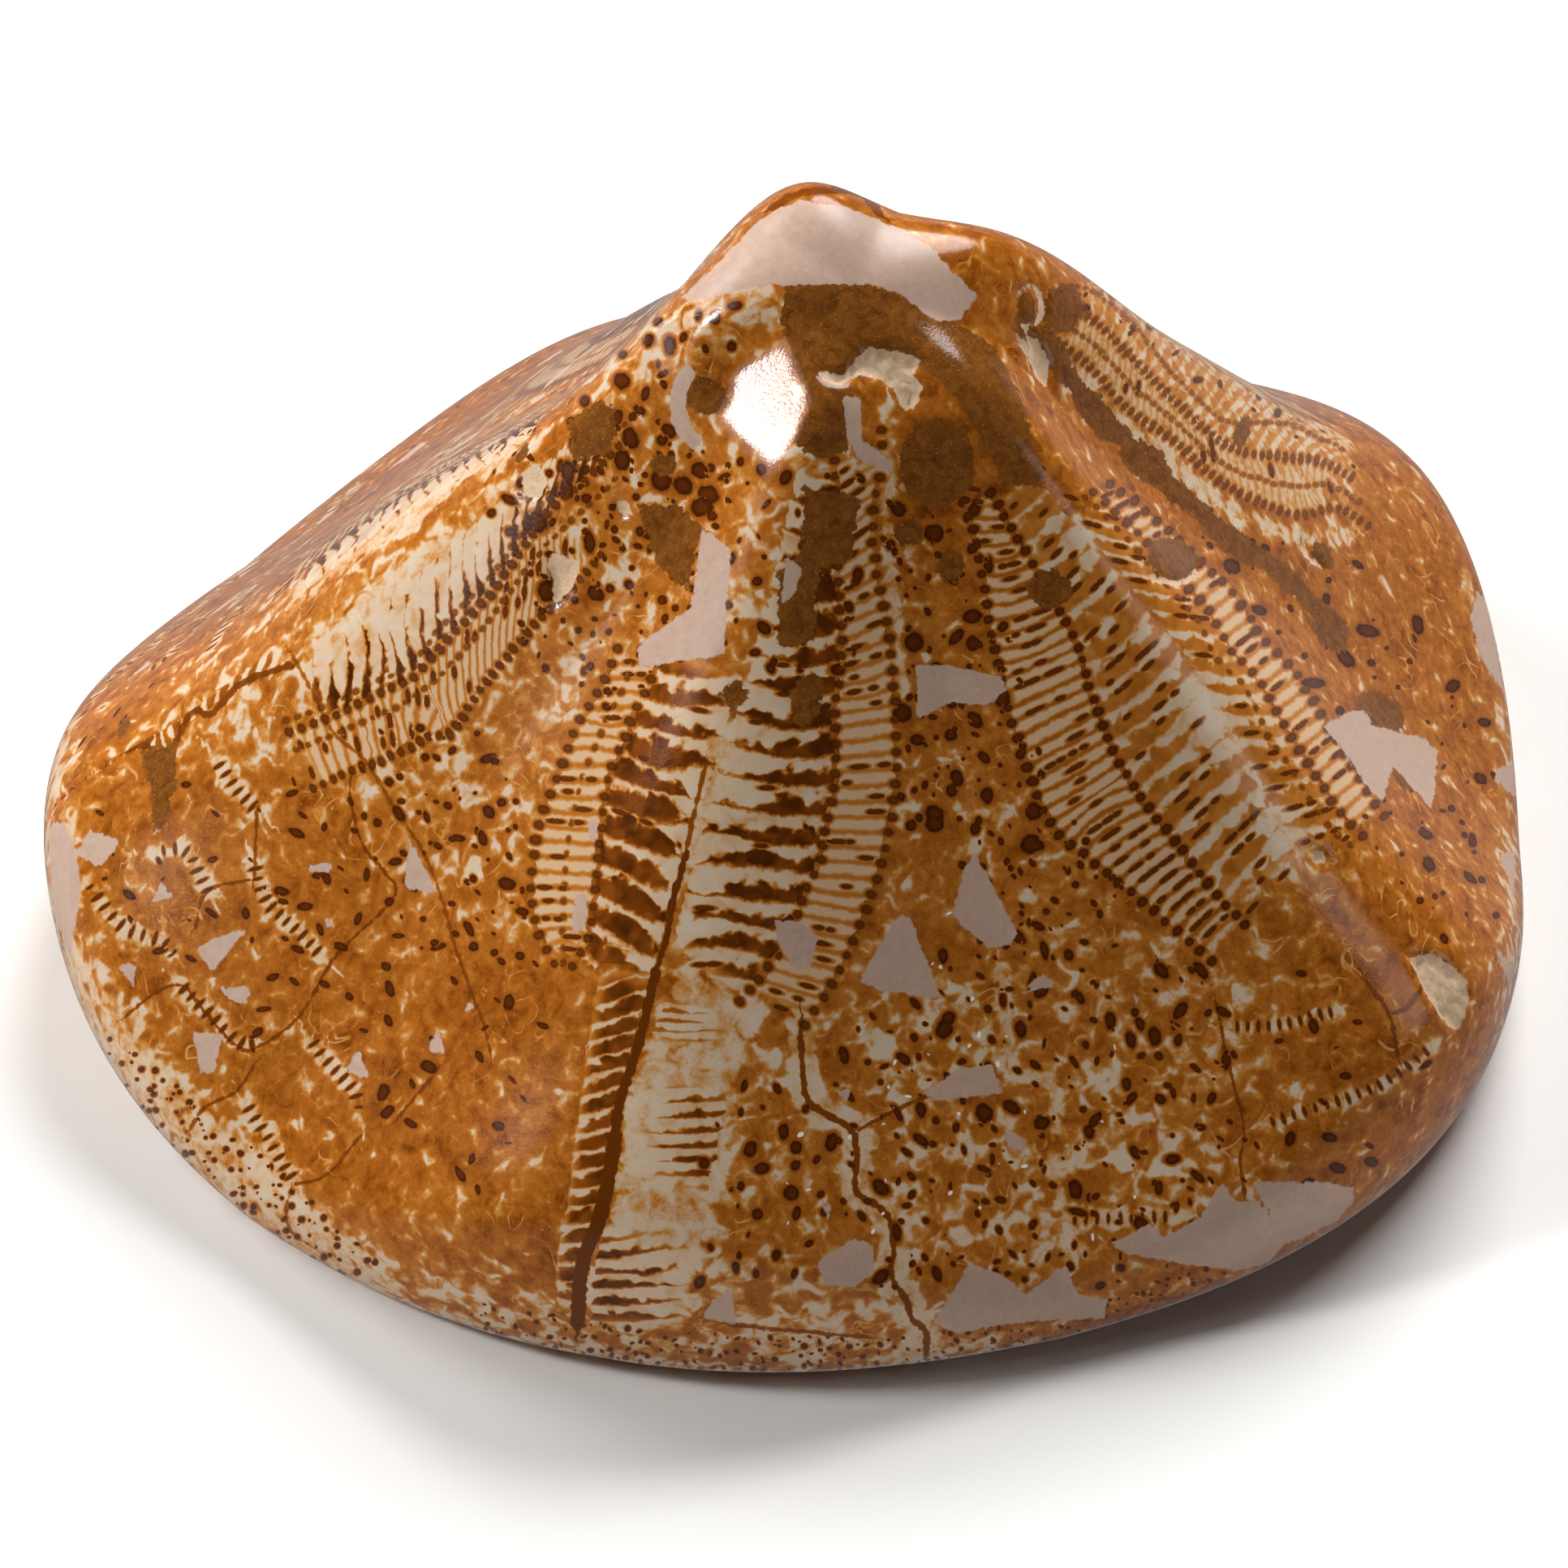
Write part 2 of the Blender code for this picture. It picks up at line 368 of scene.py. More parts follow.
# One side of a petal: its middle line, its inner and outer rows of pores, pairs of pores along
# the rows with the comb's darkness, then the dark bars between the middle line and the inner row:
# how many, shift along, share of the way out where they begin, darkness. Last come further rows of
# tubercles, as shares of the way from the inner row to the outer one (below 0 toward the middle
# line), how many stand on each ridge between the rows, and the ridges on the bars, how many
# stand on each and their shift along.
PETAL_SIDES = (
    # front petal, right side
    (((985, 560), (962, 650), (945, 737), (905, 870), (880, 960), (860, 1030), (838, 1110), (829, 1160),
      (815, 1215), (805, 1262)),
     ((1028, 560), (1031, 650), (1033, 745), (1037, 789), (1035, 829), (1028, 872), (1030, 910),
      (1028, 963), (1021, 1004), (1012, 1048), (1004, 1075), (990, 1102), (968, 1160), (940, 1200),
      (905, 1240)),
     ((1086, 519), (1086, 572), (1075, 635), (1079, 695), (1093, 774), (1102, 856), (1104, 912),
      (1104, 952), (1100, 992), (1093, 1033), (1084, 1075), (1071, 1111), (1057, 1146), (1040, 1185),
      (1014, 1230), (985, 1270)), 39, 0.55, 18.6, 0.13, 0.0, 0.94, (), 1.2, (18.6, 0.9, 0.87)),
    # front petal, left side
    (((926, 800), (905, 870), (880, 960), (852, 1048), (834, 1102), (820, 1160), (800, 1220), (786, 1266)),
     ((818, 790), (798, 847), (780, 881), (771, 912), (762, 930), (751, 952), (745, 990), (738, 1050),
      (732, 1110), (722, 1160), (700, 1198)),
     ((765, 790), (736, 854), (716, 885), (700, 920), (687, 955), (669, 1000), (660, 1036), (655, 1089),
      (662, 1145), (688, 1196)), 22, 0.6, 12, 0.78, 0.0, 0.88, (0.5,), 0.8, (12, 0.5, 0.22)),
    # right petal, left side
    (RIGHT_MIDDLE,
     ((1216, 600), (1252, 660), (1290, 725), (1323, 784), (1334, 815), (1346, 857), (1369, 918),
      (1403, 979), (1442, 1029), (1490, 1090), (1540, 1145)),
     ((1180, 590), (1202, 667), (1210, 704), (1218, 763), (1242, 874), (1254, 910), (1267, 950),
      (1298, 1021), (1345, 1060), (1400, 1105), (1500, 1190)), 38, 0.80, 19, 0.34, -1.5, 0.47, (), 2.3,
     (38, 1.5)),
    # right petal, right side
    (RIGHT_MIDDLE,
     ((1340, 600), (1400, 655), (1462, 722), (1492, 756), (1516, 800), (1550, 836), (1580, 890),
      (1618, 950), (1650, 1000), (1684, 1036)),
     ((1360, 590), (1430, 645), (1508, 720), (1534, 752), (1556, 786), (1590, 822), (1622, 870),
      (1658, 930), (1690, 982), (1712, 1012)), 30, 0.55, 19, 0.34, -1.5, 0.45, (-0.5,), 0.6, (38, 0.9)),
    # back right petal, front side
    (((1290, 338), (1350, 350), (1440, 390), (1540, 450), (1640, 520), (1720, 600)),
     ((1300, 372), (1347, 394), (1401, 447), (1450, 496), (1513, 550), (1579, 563), (1624, 568),
      (1670, 590)),
     ((1290, 410), (1321, 434), (1347, 456), (1388, 503), (1450, 546), (1477, 572), (1513, 599),
      (1557, 621), (1602, 635), (1646, 626), (1690, 650)), 46, 0.30, 28, 0.0, 0.2, 0.36, (0.5, -0.6), 0.3,
     (0, 0)),
    # left petal, front side
    (((800, 462), (770, 478), (700, 545), (620, 610), (540, 685), (460, 750), (400, 795), (350, 825)),
     ((770, 545), (722, 590), (687, 621), (660, 652), (631, 694), (604, 732), (575, 763), (544, 795),
      (508, 835), (463, 857), (419, 879), (350, 905)),
     ((745, 680), (700, 730), (660, 768), (615, 821), (585, 860), (557, 902), (530, 906), (508, 920),
      (486, 929), (463, 942), (441, 946), (380, 975)), 37, 0.6, 24, 0.13, 0.25, 1.0, (-0.2, 0.3), 0.9,
     (0, 0)),
)
# Half sizes on the drawing of a pore, and of a tubercle in the further rows: across the row, along
# it, and the share of the pitch that a pore may take along the row, or a tubercle across it.
PORE_ACROSS, PORE_ALONG, PORE_SHARE = 6.5, 5.5, 0.34
TUBERCLE_ACROSS, TUBERCLE_ALONG, TUBERCLE_SHARE = 3.6, 4.4, 0.32
# Tubercles on a petal's ridges, in millimetres: least and most of half their length, half their
# width; then the part of the ridge that they keep to.
RIDGE_TUBERCLE = (0.35, 0.75, 0.2)
RIDGE_PART = (0.18, 0.82)
# Fringes of dark barbs along a line: line they thin out toward, line they spring from, how many,
# shift, share where they begin, darkness.
FRINGES = (
    (((735, 1180), (722, 1260), (712, 1340), (700, 1430), (692, 1500), (682, 1560), (684, 1630)),
     ((822, 1150), (800, 1220), (784, 1296), (765, 1353), (753, 1430), (742, 1491), (718, 1556),
      (716, 1630)), 20, 0.0, 0.0, 0.85),
    (((800, 1320), (790, 1380), (775, 1440), (765, 1480)),
     ((905, 1310), (895, 1370), (885, 1430), (870, 1480)), 9, 0.3, 0.1, 0.85),
    (((905, 1216), (900, 1260), (890, 1310)), ((822, 1212), (806, 1260), (790, 1312)), 8, 0.0, 0.2, 0.66),
    (((900, 1500), (880, 1540), (862, 1580), (860, 1650)),
     ((745, 1500), (736, 1540), (728, 1570), (722, 1650)), 8, 0.0, 0.1, 0.9),
    (((380, 770), (300, 800), (230, 830), (150, 870), (70, 935)),
     ((365, 832), (298, 850), (250, 880), (206, 925), (150, 935), (66, 1000)), 20, 0.0, 0.0, 0.72),
)

# The widest of the dark discs.
DISCS = (
    (1155, 570, 48, 56, 0), (1294, 726, 27, 25, 0), (1310, 380, 26, 30, 0), (1446, 688, 34, 24, 20),
    (995, 862, 20, 34, 10), (1265, 380, 13, 20, 0), (1530, 532, 10, 20, 20), (1630, 684, 11, 20, -30),
    (1172, 698, 18, 20, 0), (1120, 656, 19, 17, 0), (819, 572, 18, 14, 0), (976, 1164, 13, 15, 0),
    (1296, 434, 40, 17, 55), (1352, 510, 46, 18, 52), (1412, 570, 40, 22, 40), (1452, 610, 34, 14, 40),
    (1520, 668, 42, 17, 38), (1588, 716, 34, 13, 40), (1640, 776, 30, 20, 60), (1700, 880, 34, 26, 40),
    (1742, 950, 26, 24, 0), (870, 486, 30, 24, 20), (905, 855, 17, 15, 0),
)
# Toothed joints between the plates: path, half width and strength of the pale joint, then pitch,
# half length and half width of its teeth.
TOOTHED_JOINTS = (
    (((267, 938), (294, 976), (317, 999)), 11, 0.9, 13, 8, 2.4),
    (((313, 1064), (328, 1110), (359, 1140), (394, 1175)), 11, 0.9, 13, 8, 2.4),
    (((195, 1048), (229, 1048), (244, 1075), (256, 1098)), 10, 0.9, 14, 8, 2.4),
    (((107, 1087), (149, 1140), (198, 1159), (214, 1175)), 10, 0.9, 15, 8, 2.4),
    (((221, 1213), (244, 1236), (275, 1267), (298, 1286), (313, 1286)), 12, 0.9, 14, 9, 2.8),
    (((383, 1280), (406, 1311), (437, 1345), (444, 1376)), 10, 0.9, 14, 8, 2.4),
    (((303, 1360), (330, 1403), (360, 1452)), 10, 0.9, 14, 8, 2.4),
    (((1317, 1501), (1380, 1502), (1447, 1499)), 8, 0.8, 14, 7, 2.4),
    (((1518, 1265), (1580, 1262), (1643, 1246)), 9, 0.8, 13, 7, 2.4),
    (((1561, 1384), (1690, 1341), (1767, 1289)), 9, 0.8, 14, 7, 2.4),
)

# Dark lines: path, half width, strength.
DARK_LINES = (
    (((870, 940), (856, 1000), (842, 1060), (829, 1111)), 2.5, 0.8),
    (((846, 1050), (829, 1111), (820, 1160), (800, 1220)), 4, 1.0),
    (((808, 1196), (784, 1296), (765, 1353), (753, 1430)), 6, 1.0),
    (((758, 1400), (742, 1491), (718, 1556), (712, 1630)), 9, 1.0),
    (((359, 819), (298, 842), (260, 880), (237, 876), (206, 930), (175, 918), (129, 938), (76, 980),
      (61, 995)), 4, 0.9),
    (((361, 808), (387, 857), (410, 902), (450, 937), (486, 996), (521, 1049), (544, 1107), (566, 1182),
      (596, 1263), (604, 1297)), 2.2, 0.7),
    (((317, 999), (313, 1087)), 1.8, 0.8),
    (((313, 1083), (256, 1098), (240, 1144)), 1.8, 0.8),
    (((157, 1250), (199, 1219), (226, 1215), (245, 1238), (268, 1265), (291, 1288), (314, 1292),
      (368, 1253), (413, 1179), (485, 1106), (474, 1075), (447, 1041), (432, 987), (432, 957)), 1.9, 0.85),
    (((314, 1311), (291, 1345), (253, 1364), (234, 1391)), 1.8, 0.8),
    (((360, 1460), (353, 1487), (356, 1514), (379, 1533)), 1.8, 0.8),
    (((360, 1460), (402, 1448), (444, 1399)), 1.8, 0.8),
    (((540, 1318), (498, 1368), (487, 1380)), 1.8, 0.8),
    (FRONT_SUTURE, 3.8, 0.9),
    (((1059, 1391), (1109, 1365), (1197, 1326)), 2.2, 0.8),
    (((1499, 1236), (1513, 1308), (1533, 1389), (1528, 1427), (1533, 1470)), 2.0, 0.8),
    (((898, 1632), (980, 1640), (1067, 1648)), 2.4, 0.8),
    (((1684, 1210), (1712, 1250), (1722, 1300)), 3.0, 0.8),
    (((1755, 1212), (1735, 1240), (1712, 1250)), 3.0, 0.8),
    (((950, 257), (986, 239), (1053, 235), (1084, 262)), 5, 0.8),
)

# Plain joints: path, half width, strength.
PALE_JOINTS = (
    (FRONT_SUTURE, 17, 1.0),
    (((1173, 990), (1200, 1012), (1271, 986)), 6, 0.8),
    (((1200, 1012), (1200, 1057)), 6, 0.8),
    (((1231, 1193), (1241, 1250), (1246, 1313), (1298, 1341), (1293, 1437), (1317, 1499), (1313, 1557)), 6,
     0.8),
    (((1093, 507), (1093, 605)), 8, 1.0),
    (((1094, 619), (1098, 700), (1112, 846)), 7, 1.0),
    (((1214, 637), (1226, 700), (1246, 775)), 7, 1.0),
    (((1508, 746), (1579, 827), (1615, 876)), 6, 1.0),
    (((1335, 470), (1400, 540), (1470, 594), (1540, 640), (1610, 664), (1660, 660)), 8, 0.8),
    (((901, 901), (875, 975), (852, 1048), (834, 1102)), 6, 0.9),
)

# Grey-lilac stone that has filled the gaps, by outline.
GREY_FILL = (
    ((986, 246), (1048, 257), (1102, 279), (1146, 304), (1182, 342), (1204, 364), (1182, 395), (1151, 395),
     (1111, 364), (1079, 351), (1012, 351), (950, 351), (923, 355), (870, 369), (838, 369), (879, 329),
     (910, 297), (941, 266)),
    ((865, 650), (901, 677), (896, 730), (892, 806), (789, 824), (785, 797), (820, 770), (852, 748)),
    ((1039, 489), (1060, 489), (1062, 543), (1100, 568), (1100, 584), (1057, 566), (1044, 543)),
    ((968, 686), (990, 700), (977, 735), (963, 744)),
    ((1129, 820), (1169, 820), (1236, 834), (1240, 852), (1213, 870), (1173, 865), (1129, 887)),
    ((1106, 1128), (1120, 1128), (1160, 1231), (1129, 1227), (1084, 1220), (1057, 1209)),
    ((1200, 1048), (1254, 1151), (1245, 1164), (1218, 1169), (1173, 1129), (1187, 1075)),
    ((1249, 1227), (1285, 1200), (1307, 1213)),
    ((1222, 1312), (1236, 1347), (1151, 1356), (1137, 1347), (1182, 1316)),
    ((1030, 1343), (1048, 1343), (1044, 1356)),
    ((1629, 894), (1664, 876), (1682, 876), (1691, 894), (1754, 909), (1771, 925), (1769, 970), (1763, 996),
     (1716, 943), (1704, 990), (1682, 965), (1655, 925)),
    ((1820, 729), (1834, 742), (1856, 858), (1825, 813), (1812, 764)),
    ((1847, 945), (1866, 941), (1868, 983), (1840, 960)),
    ((1847, 1052), (1868, 1050), (1866, 1113)),
    ((1840, 1163), (1866, 1194), (1863, 1220)),
    ((1368, 1533), (1418, 1506), (1432, 1525), (1480, 1499), (1504, 1456), (1523, 1480), (1552, 1480),
     (1576, 1514), (1583, 1533), (1561, 1557), (1523, 1566), (1456, 1557), (1389, 1545)),
    ((1542, 1456), (1628, 1456), (1667, 1463), (1669, 1480), (1647, 1504), (1600, 1528), (1580, 1533),
     (1566, 1494)),
    ((1195, 1557), (1236, 1571), (1265, 1595), (1313, 1557), (1327, 1595), (1365, 1600), (1360, 1624),
     (1270, 1628), (1179, 1643), (1150, 1628)),
    ((1006, 1556), (1052, 1525), (1075, 1533), (1078, 1567), (1052, 1587), (1017, 1583)),
    ((876, 1606), (902, 1583), (906, 1632), (864, 1625)),
    ((709, 1102), (722, 1102), (722, 1142), (704, 1151)),
    ((954, 1133), (990, 1137), (1008, 1155), (999, 1191), (981, 1196), (959, 1164)),
    ((722, 1012), (740, 1008), (731, 1044)),
    ((110, 1022), (149, 1037), (122, 1068), (93, 1052)),
    ((61, 1014), (80, 1014), (95, 1052), (99, 1094), (91, 1152), (87, 1182), (64, 1114)),
    ((198, 1087), (214, 1106), (185, 1112)),
    ((240, 1167), (275, 1152), (313, 1140), (294, 1156), (275, 1182), (262, 1198)),
    ((271, 1217), (311, 1215), (302, 1240), (279, 1228)),
    ((505, 1033), (531, 1083), (537, 1102), (497, 1094)),
    ((237, 1272), (275, 1274), (263, 1324), (248, 1324)),
    ((443, 1290), (455, 1332), (424, 1320)),
    ((539, 1267), (550, 1301), (527, 1293)),
    ((145, 1190), (168, 1186), (164, 1217)),
    ((397, 1129), (413, 1137), (403, 1144)),
    ((581, 1232), (585, 1246), (571, 1247)),
    ((380, 1066), (413, 1062), (410, 1074), (384, 1076)),
    ((1389, 1222), (1404, 1230), (1402, 1238)),
    ((1236, 1390), (1265, 1404), (1262, 1418), (1240, 1412)),
    ((1009, 1476), (1025, 1486), (1020, 1502)),
)
# The same stone in the arc round the brown disc left of the top: path, half width.
GREY_ARC = ((852, 450), (838, 478), (835, 505), (846, 535), (868, 552))
GREY_ARC_HALF = 10

# Olive brown mud that has filled the deeper gaps.
MUD_STREAK = ((1262, 396), (1300, 448), (1352, 506), (1412, 568), (1452, 606), (1520, 664), (1588, 712),
              (1636, 768))
MUD_STREAK_HALF = 11
MUD_FILL = (
    ((988, 458), (1046, 468), (1054, 500), (1042, 556), (1008, 566), (975, 548), (996, 500)),
    ((968, 351), (1050, 343), (1102, 360), (1180, 396), (1230, 430), (1262, 500), (1290, 600), (1240, 596),
     (1190, 510), (1160, 470), (1120, 440), (1040, 470), (986, 470), (962, 400)),
    ((990, 600), (1060, 612), (1050, 690), (1010, 700), (1004, 790), (960, 800), (958, 705), (984, 690)),
    ((784, 621), (840, 621), (865, 653), (847, 730), (812, 698)),
    ((893, 838), (905, 850), (922, 852), (908, 866), (903, 884), (893, 866), (880, 858), (892, 852)),
    ((700, 520), (740, 492), (762, 505), (752, 560), (706, 566)),
    ((172, 926), (218, 915), (218, 964), (206, 1018), (189, 1029), (187, 980)),
)

# Bare, unpolished hollows.
BARE_PITS = (
    ((1736, 1178), (1771, 1175), (1805, 1201), (1813, 1228), (1801, 1270), (1786, 1266), (1759, 1224)),
    ((1008, 454), (1039, 462), (1057, 440), (1070, 427), (1102, 431), (1138, 442), (1124, 462), (1138, 471),
     (1129, 503), (1115, 507), (1102, 480), (1079, 462), (1062, 458), (1039, 474), (1012, 467)),
    ((673, 679), (713, 692), (704, 723), (682, 746)),
    ((758, 616), (774, 620), (780, 638), (762, 634)),
    ((1616, 1046), (1632, 1048), (1636, 1062), (1620, 1066)),
    ((1267, 413), (1284, 420), (1296, 450), (1292, 480), (1276, 460)),
    ((640, 580), (662, 574), (674, 592), (664, 612), (644, 610)),
)

# Pale crackled rims that stand round a few discs, and half their width.
PALE_RIMS = (
    ((1252, 372), (1262, 353), (1278, 354), (1286, 372), (1282, 396), (1266, 403), (1253, 392)),
    ((1254, 404), (1260, 420), (1272, 440), (1282, 462)),
    ((1416, 706), (1438, 717), (1466, 713), (1481, 696)),
    ((1612, 660), (1607, 676), (1618, 690), (1638, 701)),
)
RIM_HALF = 3.2

# How far iron has stained the calcite, 0 white to 1 all ochre and above 1 deeper: outline, level,
# softness of its edge. Later zones lie over earlier ones. The pale zones on the right petal's crest
# are partly painted highlight: white calcite and the sheen that falls there.
ZONES = (
    (((40, 880), (420, 560), (860, 260), (980, 240), (940, 330), (760, 440), (600, 560), (380, 780),
      (120, 920)), 0.74, 40),
    (((560, 780), (800, 760), (760, 900), (690, 1200), (560, 1180), (440, 980)), 0.60, 60),
    (((120, 860), (370, 790), (430, 860), (330, 940), (120, 930)), 0.62, 40),
    (((380, 800), (480, 700), (640, 560), (760, 460), (720, 640), (660, 760), (560, 950), (420, 980),
      (330, 900)), 0.42, 40),
    (((700, 545), (650, 572), (590, 622), (530, 670), (460, 728), (395, 785), (395, 835), (450, 840),
      (524, 798), (598, 725), (650, 660), (690, 600)), -0.25, 20),
    (((540, 606), (600, 600), (596, 655), (545, 660)), 0.62, 16),
    (((740, 440), (800, 380), (940, 345), (968, 372), (900, 430), (850, 440), (800, 500)), 0.34, 24),
    (((640, 560), (760, 480), (870, 470), (900, 620), (860, 760), (700, 760), (640, 660)), 0.66, 40),
    (((900, 560), (1080, 560), (1090, 780), (1040, 880), (930, 860), (880, 760)), 0.62, 40),
    (((905, 860), (1000, 880), (1030, 1000), (1000, 1100), (940, 1200), (800, 1220), (740, 1190),
      (745, 1000), (800, 850)), 0.46, 26),
    (((830, 1190), (940, 1200), (930, 1320), (850, 1345), (790, 1345), (805, 1240)), 0.08, 24),
    (((770, 1340), (860, 1340), (830, 1600), (740, 1610)), 0.40, 30),
    (((860, 1300), (1000, 1300), (1040, 1560), (840, 1590)), 0.62, 60),
    (((1085, 600), (1230, 600), (1300, 980), (1200, 1040), (1100, 980)), 0.78, 30),
    (((1080, 1000), (1250, 1000), (1300, 1180), (1240, 1300), (1040, 1250), (1060, 1150)), 0.72, 50),
    (((1010, 1230), (1300, 1180), (1520, 1220), (1540, 1480), (1400, 1560), (1100, 1600), (1060, 1400)),
     0.57, 60),
    (((1280, 1060), (1560, 1130), (1640, 1220), (1500, 1260), (1300, 1200)), 0.68, 40),
    (((730, 1560), (1060, 1540), (1140, 1680), (720, 1660)), 0.46, 30),
    (((1250, 560), (1340, 660), (1500, 900), (1640, 1070), (1540, 1130), (1440, 1000), (1330, 760),
      (1250, 640)), 0.62, 30),
    # Paler on the right petal's crest: white calcite, and painted highlight where its sheen falls.
    (((1410, 770), (1500, 800), (1560, 900), (1540, 960), (1450, 900)), 0.42, 30),
    (((1530, 950), (1600, 960), (1620, 1050), (1560, 1060)), 0.35, 20),
    (((1320, 634), (1352, 644), (1350, 686), (1318, 684)), 0.0, 12),
    (((1310, 380), (1500, 500), (1660, 560), (1680, 650), (1560, 640), (1400, 570), (1320, 470)), 0.45, 30),
    (((1100, 500), (1270, 500), (1330, 700), (1240, 760), (1110, 660)), 1.02, 40),
    (((560, 1150), (700, 1180), (700, 1560), (560, 1500), (440, 1380), (480, 1200)), 0.90, 50),
    (((1640, 1160), (1730, 1180), (1790, 1330), (1700, 1440), (1560, 1360)), 0.88, 40),
    (((52, 1170), (95, 1160), (210, 1310), (330, 1420), (440, 1530), (560, 1600), (440, 1640), (60, 1300)),
     0.1, 24),
    (((52, 990), (100, 1000), (90, 1160), (52, 1180)), 0.2, 20),
    (((440, 1540), (720, 1620), (900, 1650), (1300, 1640), (1300, 1720), (560, 1700)), 0.46, 24),
    (((1846, 700), (1900, 760), (1900, 1300), (1850, 1280)), 0.5, 20),
    (((815, 1200), (925, 1200), (905, 1340), (880, 1480), (850, 1600), (734, 1600), (760, 1480),
      (785, 1340)), 0.02, 16),
    (((735, 890), (862, 900), (832, 1100), (800, 1270), (700, 1270), (650, 1100)), 0.92, 30),
    # White on the right petal's crest, in the same places: white calcite, and painted highlight where its
    # sheen falls.
    (((1290, 640), (1330, 650), (1345, 700), (1310, 690)), -1.0, 12),
    (((1440, 850), (1490, 830), (1530, 910), (1500, 940), (1450, 900)), -1.0, 14),
    (((1545, 990), (1590, 1000), (1600, 1050), (1560, 1040)), -1.0, 12),
)
# Tubercles scattered over the ground between the petals: outline, then millimetres from one to the
# next and half the length of one, its slimness, and the way its long side lies, in degrees.
TUBERCLES = (
    (((1085, 620), (1200, 620), (1290, 960), (1330, 1080), (1240, 1180), (1110, 1000)), 2.7, 0.55, 0.75,
     80),
    (((1085, 620), (1200, 620), (1290, 960), (1400, 1120), (1240, 1180), (1110, 1000)), 1.6, 0.24, 0.80,
     60),
    (FRONT_GROUND, 2.7, 0.54, 0.55, 70),
    (FRONT_GROUND, 2.1, 0.24, 0.70, 40),
    (((450, 960), (600, 900), (660, 1180), (700, 1420), (560, 1480), (400, 1300), (330, 1050)), 3.1, 0.50,
     0.52, 60),
    (((450, 900), (600, 880), (660, 1000), (640, 1200), (520, 1200), (430, 1020)), 1.9, 0.26, 0.80, 40),
    (((100, 960), (440, 960), (420, 1180), (330, 1340), (120, 1160)), 3.1, 0.44, 0.50, 30),
    (((640, 600), (780, 500), (900, 560), (900, 700), (760, 760), (680, 760)), 2.3, 0.62, 0.70, 40),
    (((640, 600), (780, 500), (900, 560), (900, 800), (740, 880), (640, 800)), 1.5, 0.27, 0.80, 70),
    (((690, 500), (800, 400), (950, 345), (970, 390), (860, 450), (740, 545)), 1.8, 0.50, 0.65, 110),
    (((560, 640), (690, 500), (740, 545), (640, 660)), 2.0, 0.48, 0.55, 70),
    (((900, 560), (1060, 560), (1080, 780), (1000, 860), (900, 800)), 2.2, 0.44, 0.75, 90),
    (((1480, 640), (1700, 700), (1850, 900), (1860, 1180), (1760, 1160), (1700, 980), (1560, 780)),
     3.6, 0.66, 0.60, 50),
    (((1380, 560), (1640, 700), (1850, 900), (1850, 1160), (1720, 1150), (1640, 860)), 2.3, 0.24, 0.80, 50),
    (((1560, 1150), (1640, 1220), (1760, 1300), (1740, 1420), (1560, 1480)), 3.2, 0.50, 0.60, 20),
    (((560, 1600), (800, 1640), (1100, 1650), (1400, 1590), (1500, 1540), (1510, 1570), (1300, 1680),
      (900, 1705), (600, 1645)), 0.8, 0.16, 0.70, 20),
    (((90, 1250), (230, 1340), (470, 1560), (420, 1590), (200, 1430)), 0.9, 0.17, 0.90, 0),
    (((860, 1330), (1000, 1330), (1040, 1560), (860, 1600)), 2.2, 0.44, 0.70, 90),
    (((1280, 380), (1420, 440), (1560, 520), (1700, 600), (1680, 560), (1500, 420), (1340, 345)), 1.5, 0.26,
     0.60, 60),
)
# The share of their size that the tubercles keep on the far side, where the drawing's slant draws
# them out, and the ground of the drawing over which its fillings are strewn. Then, for its lilac
# and its mud fillings, millimetres from one to the next and the least and most reach of one.
HIDDEN_SIZE = 0.6
HIDDEN_GROUND = ((60, 900), (420, 640), (760, 400), (1280, 360), (1700, 560), (1860, 900), (1840, 1300),
                 (1500, 1560), (900, 1680), (400, 1500), (80, 1260))
HIDDEN_LILAC = (9.0, 0.6, 1.9)
HIDDEN_MUD = (13.0, 0.5, 1.1)
# Chips of clear calcite, whose glints are painted into the colour as white flecks: outline, and
# millimetres from one to the next. Then the least and most of half a chip's length, and how slim they are.
CHIP_GLINTS = (
    (((1070, 1120), (1240, 1120), (1260, 1400), (1080, 1400)), 3.0),
    (((960, 1380), (1100, 1380), (1100, 1540), (960, 1540)), 3.4),
    (((1180, 1180), (1420, 1280), (1400, 1560), (1160, 1540)), 5.0),
)
CHIP_HALF = (0.14, 0.34)
CHIP_SLIM = (0.3, 0.7)


# ---------------------------------------------------------------- laying the markings
def eased(share):
    """A share held between 0 and 1, with a gentle start and end."""
    share = np.clip(share, 0, 1)
    return share ** 2 * (3 - 2 * share)


def spin(angle):
    return np.array([[math.cos(angle), math.sin(angle)], [-math.sin(angle), math.cos(angle)]])


def oval(x, y, half_x, half_y, angle):
    turn = np.linspace(0, 2 * math.pi, 20, endpoint=False)
    flat = np.stack([half_x * np.cos(turn), half_y * np.sin(turn)], axis=-1)
    return flat @ spin(angle) + (x, y)


def ribbon(path, half_width):
    """Outline of a band along a path."""
    run = np.gradient(path, axis=0)
    side = np.stack([-run[:, 1], run[:, 0]], axis=-1) / np.linalg.norm(run, axis=1)[:, None] * half_width
    return np.concatenate([path + side, (path - side)[::-1]])[::4]


# The markings' values on the mesh, three to each.
LAID = ("spot", "line", "joint", "comb", "bars", "fill")


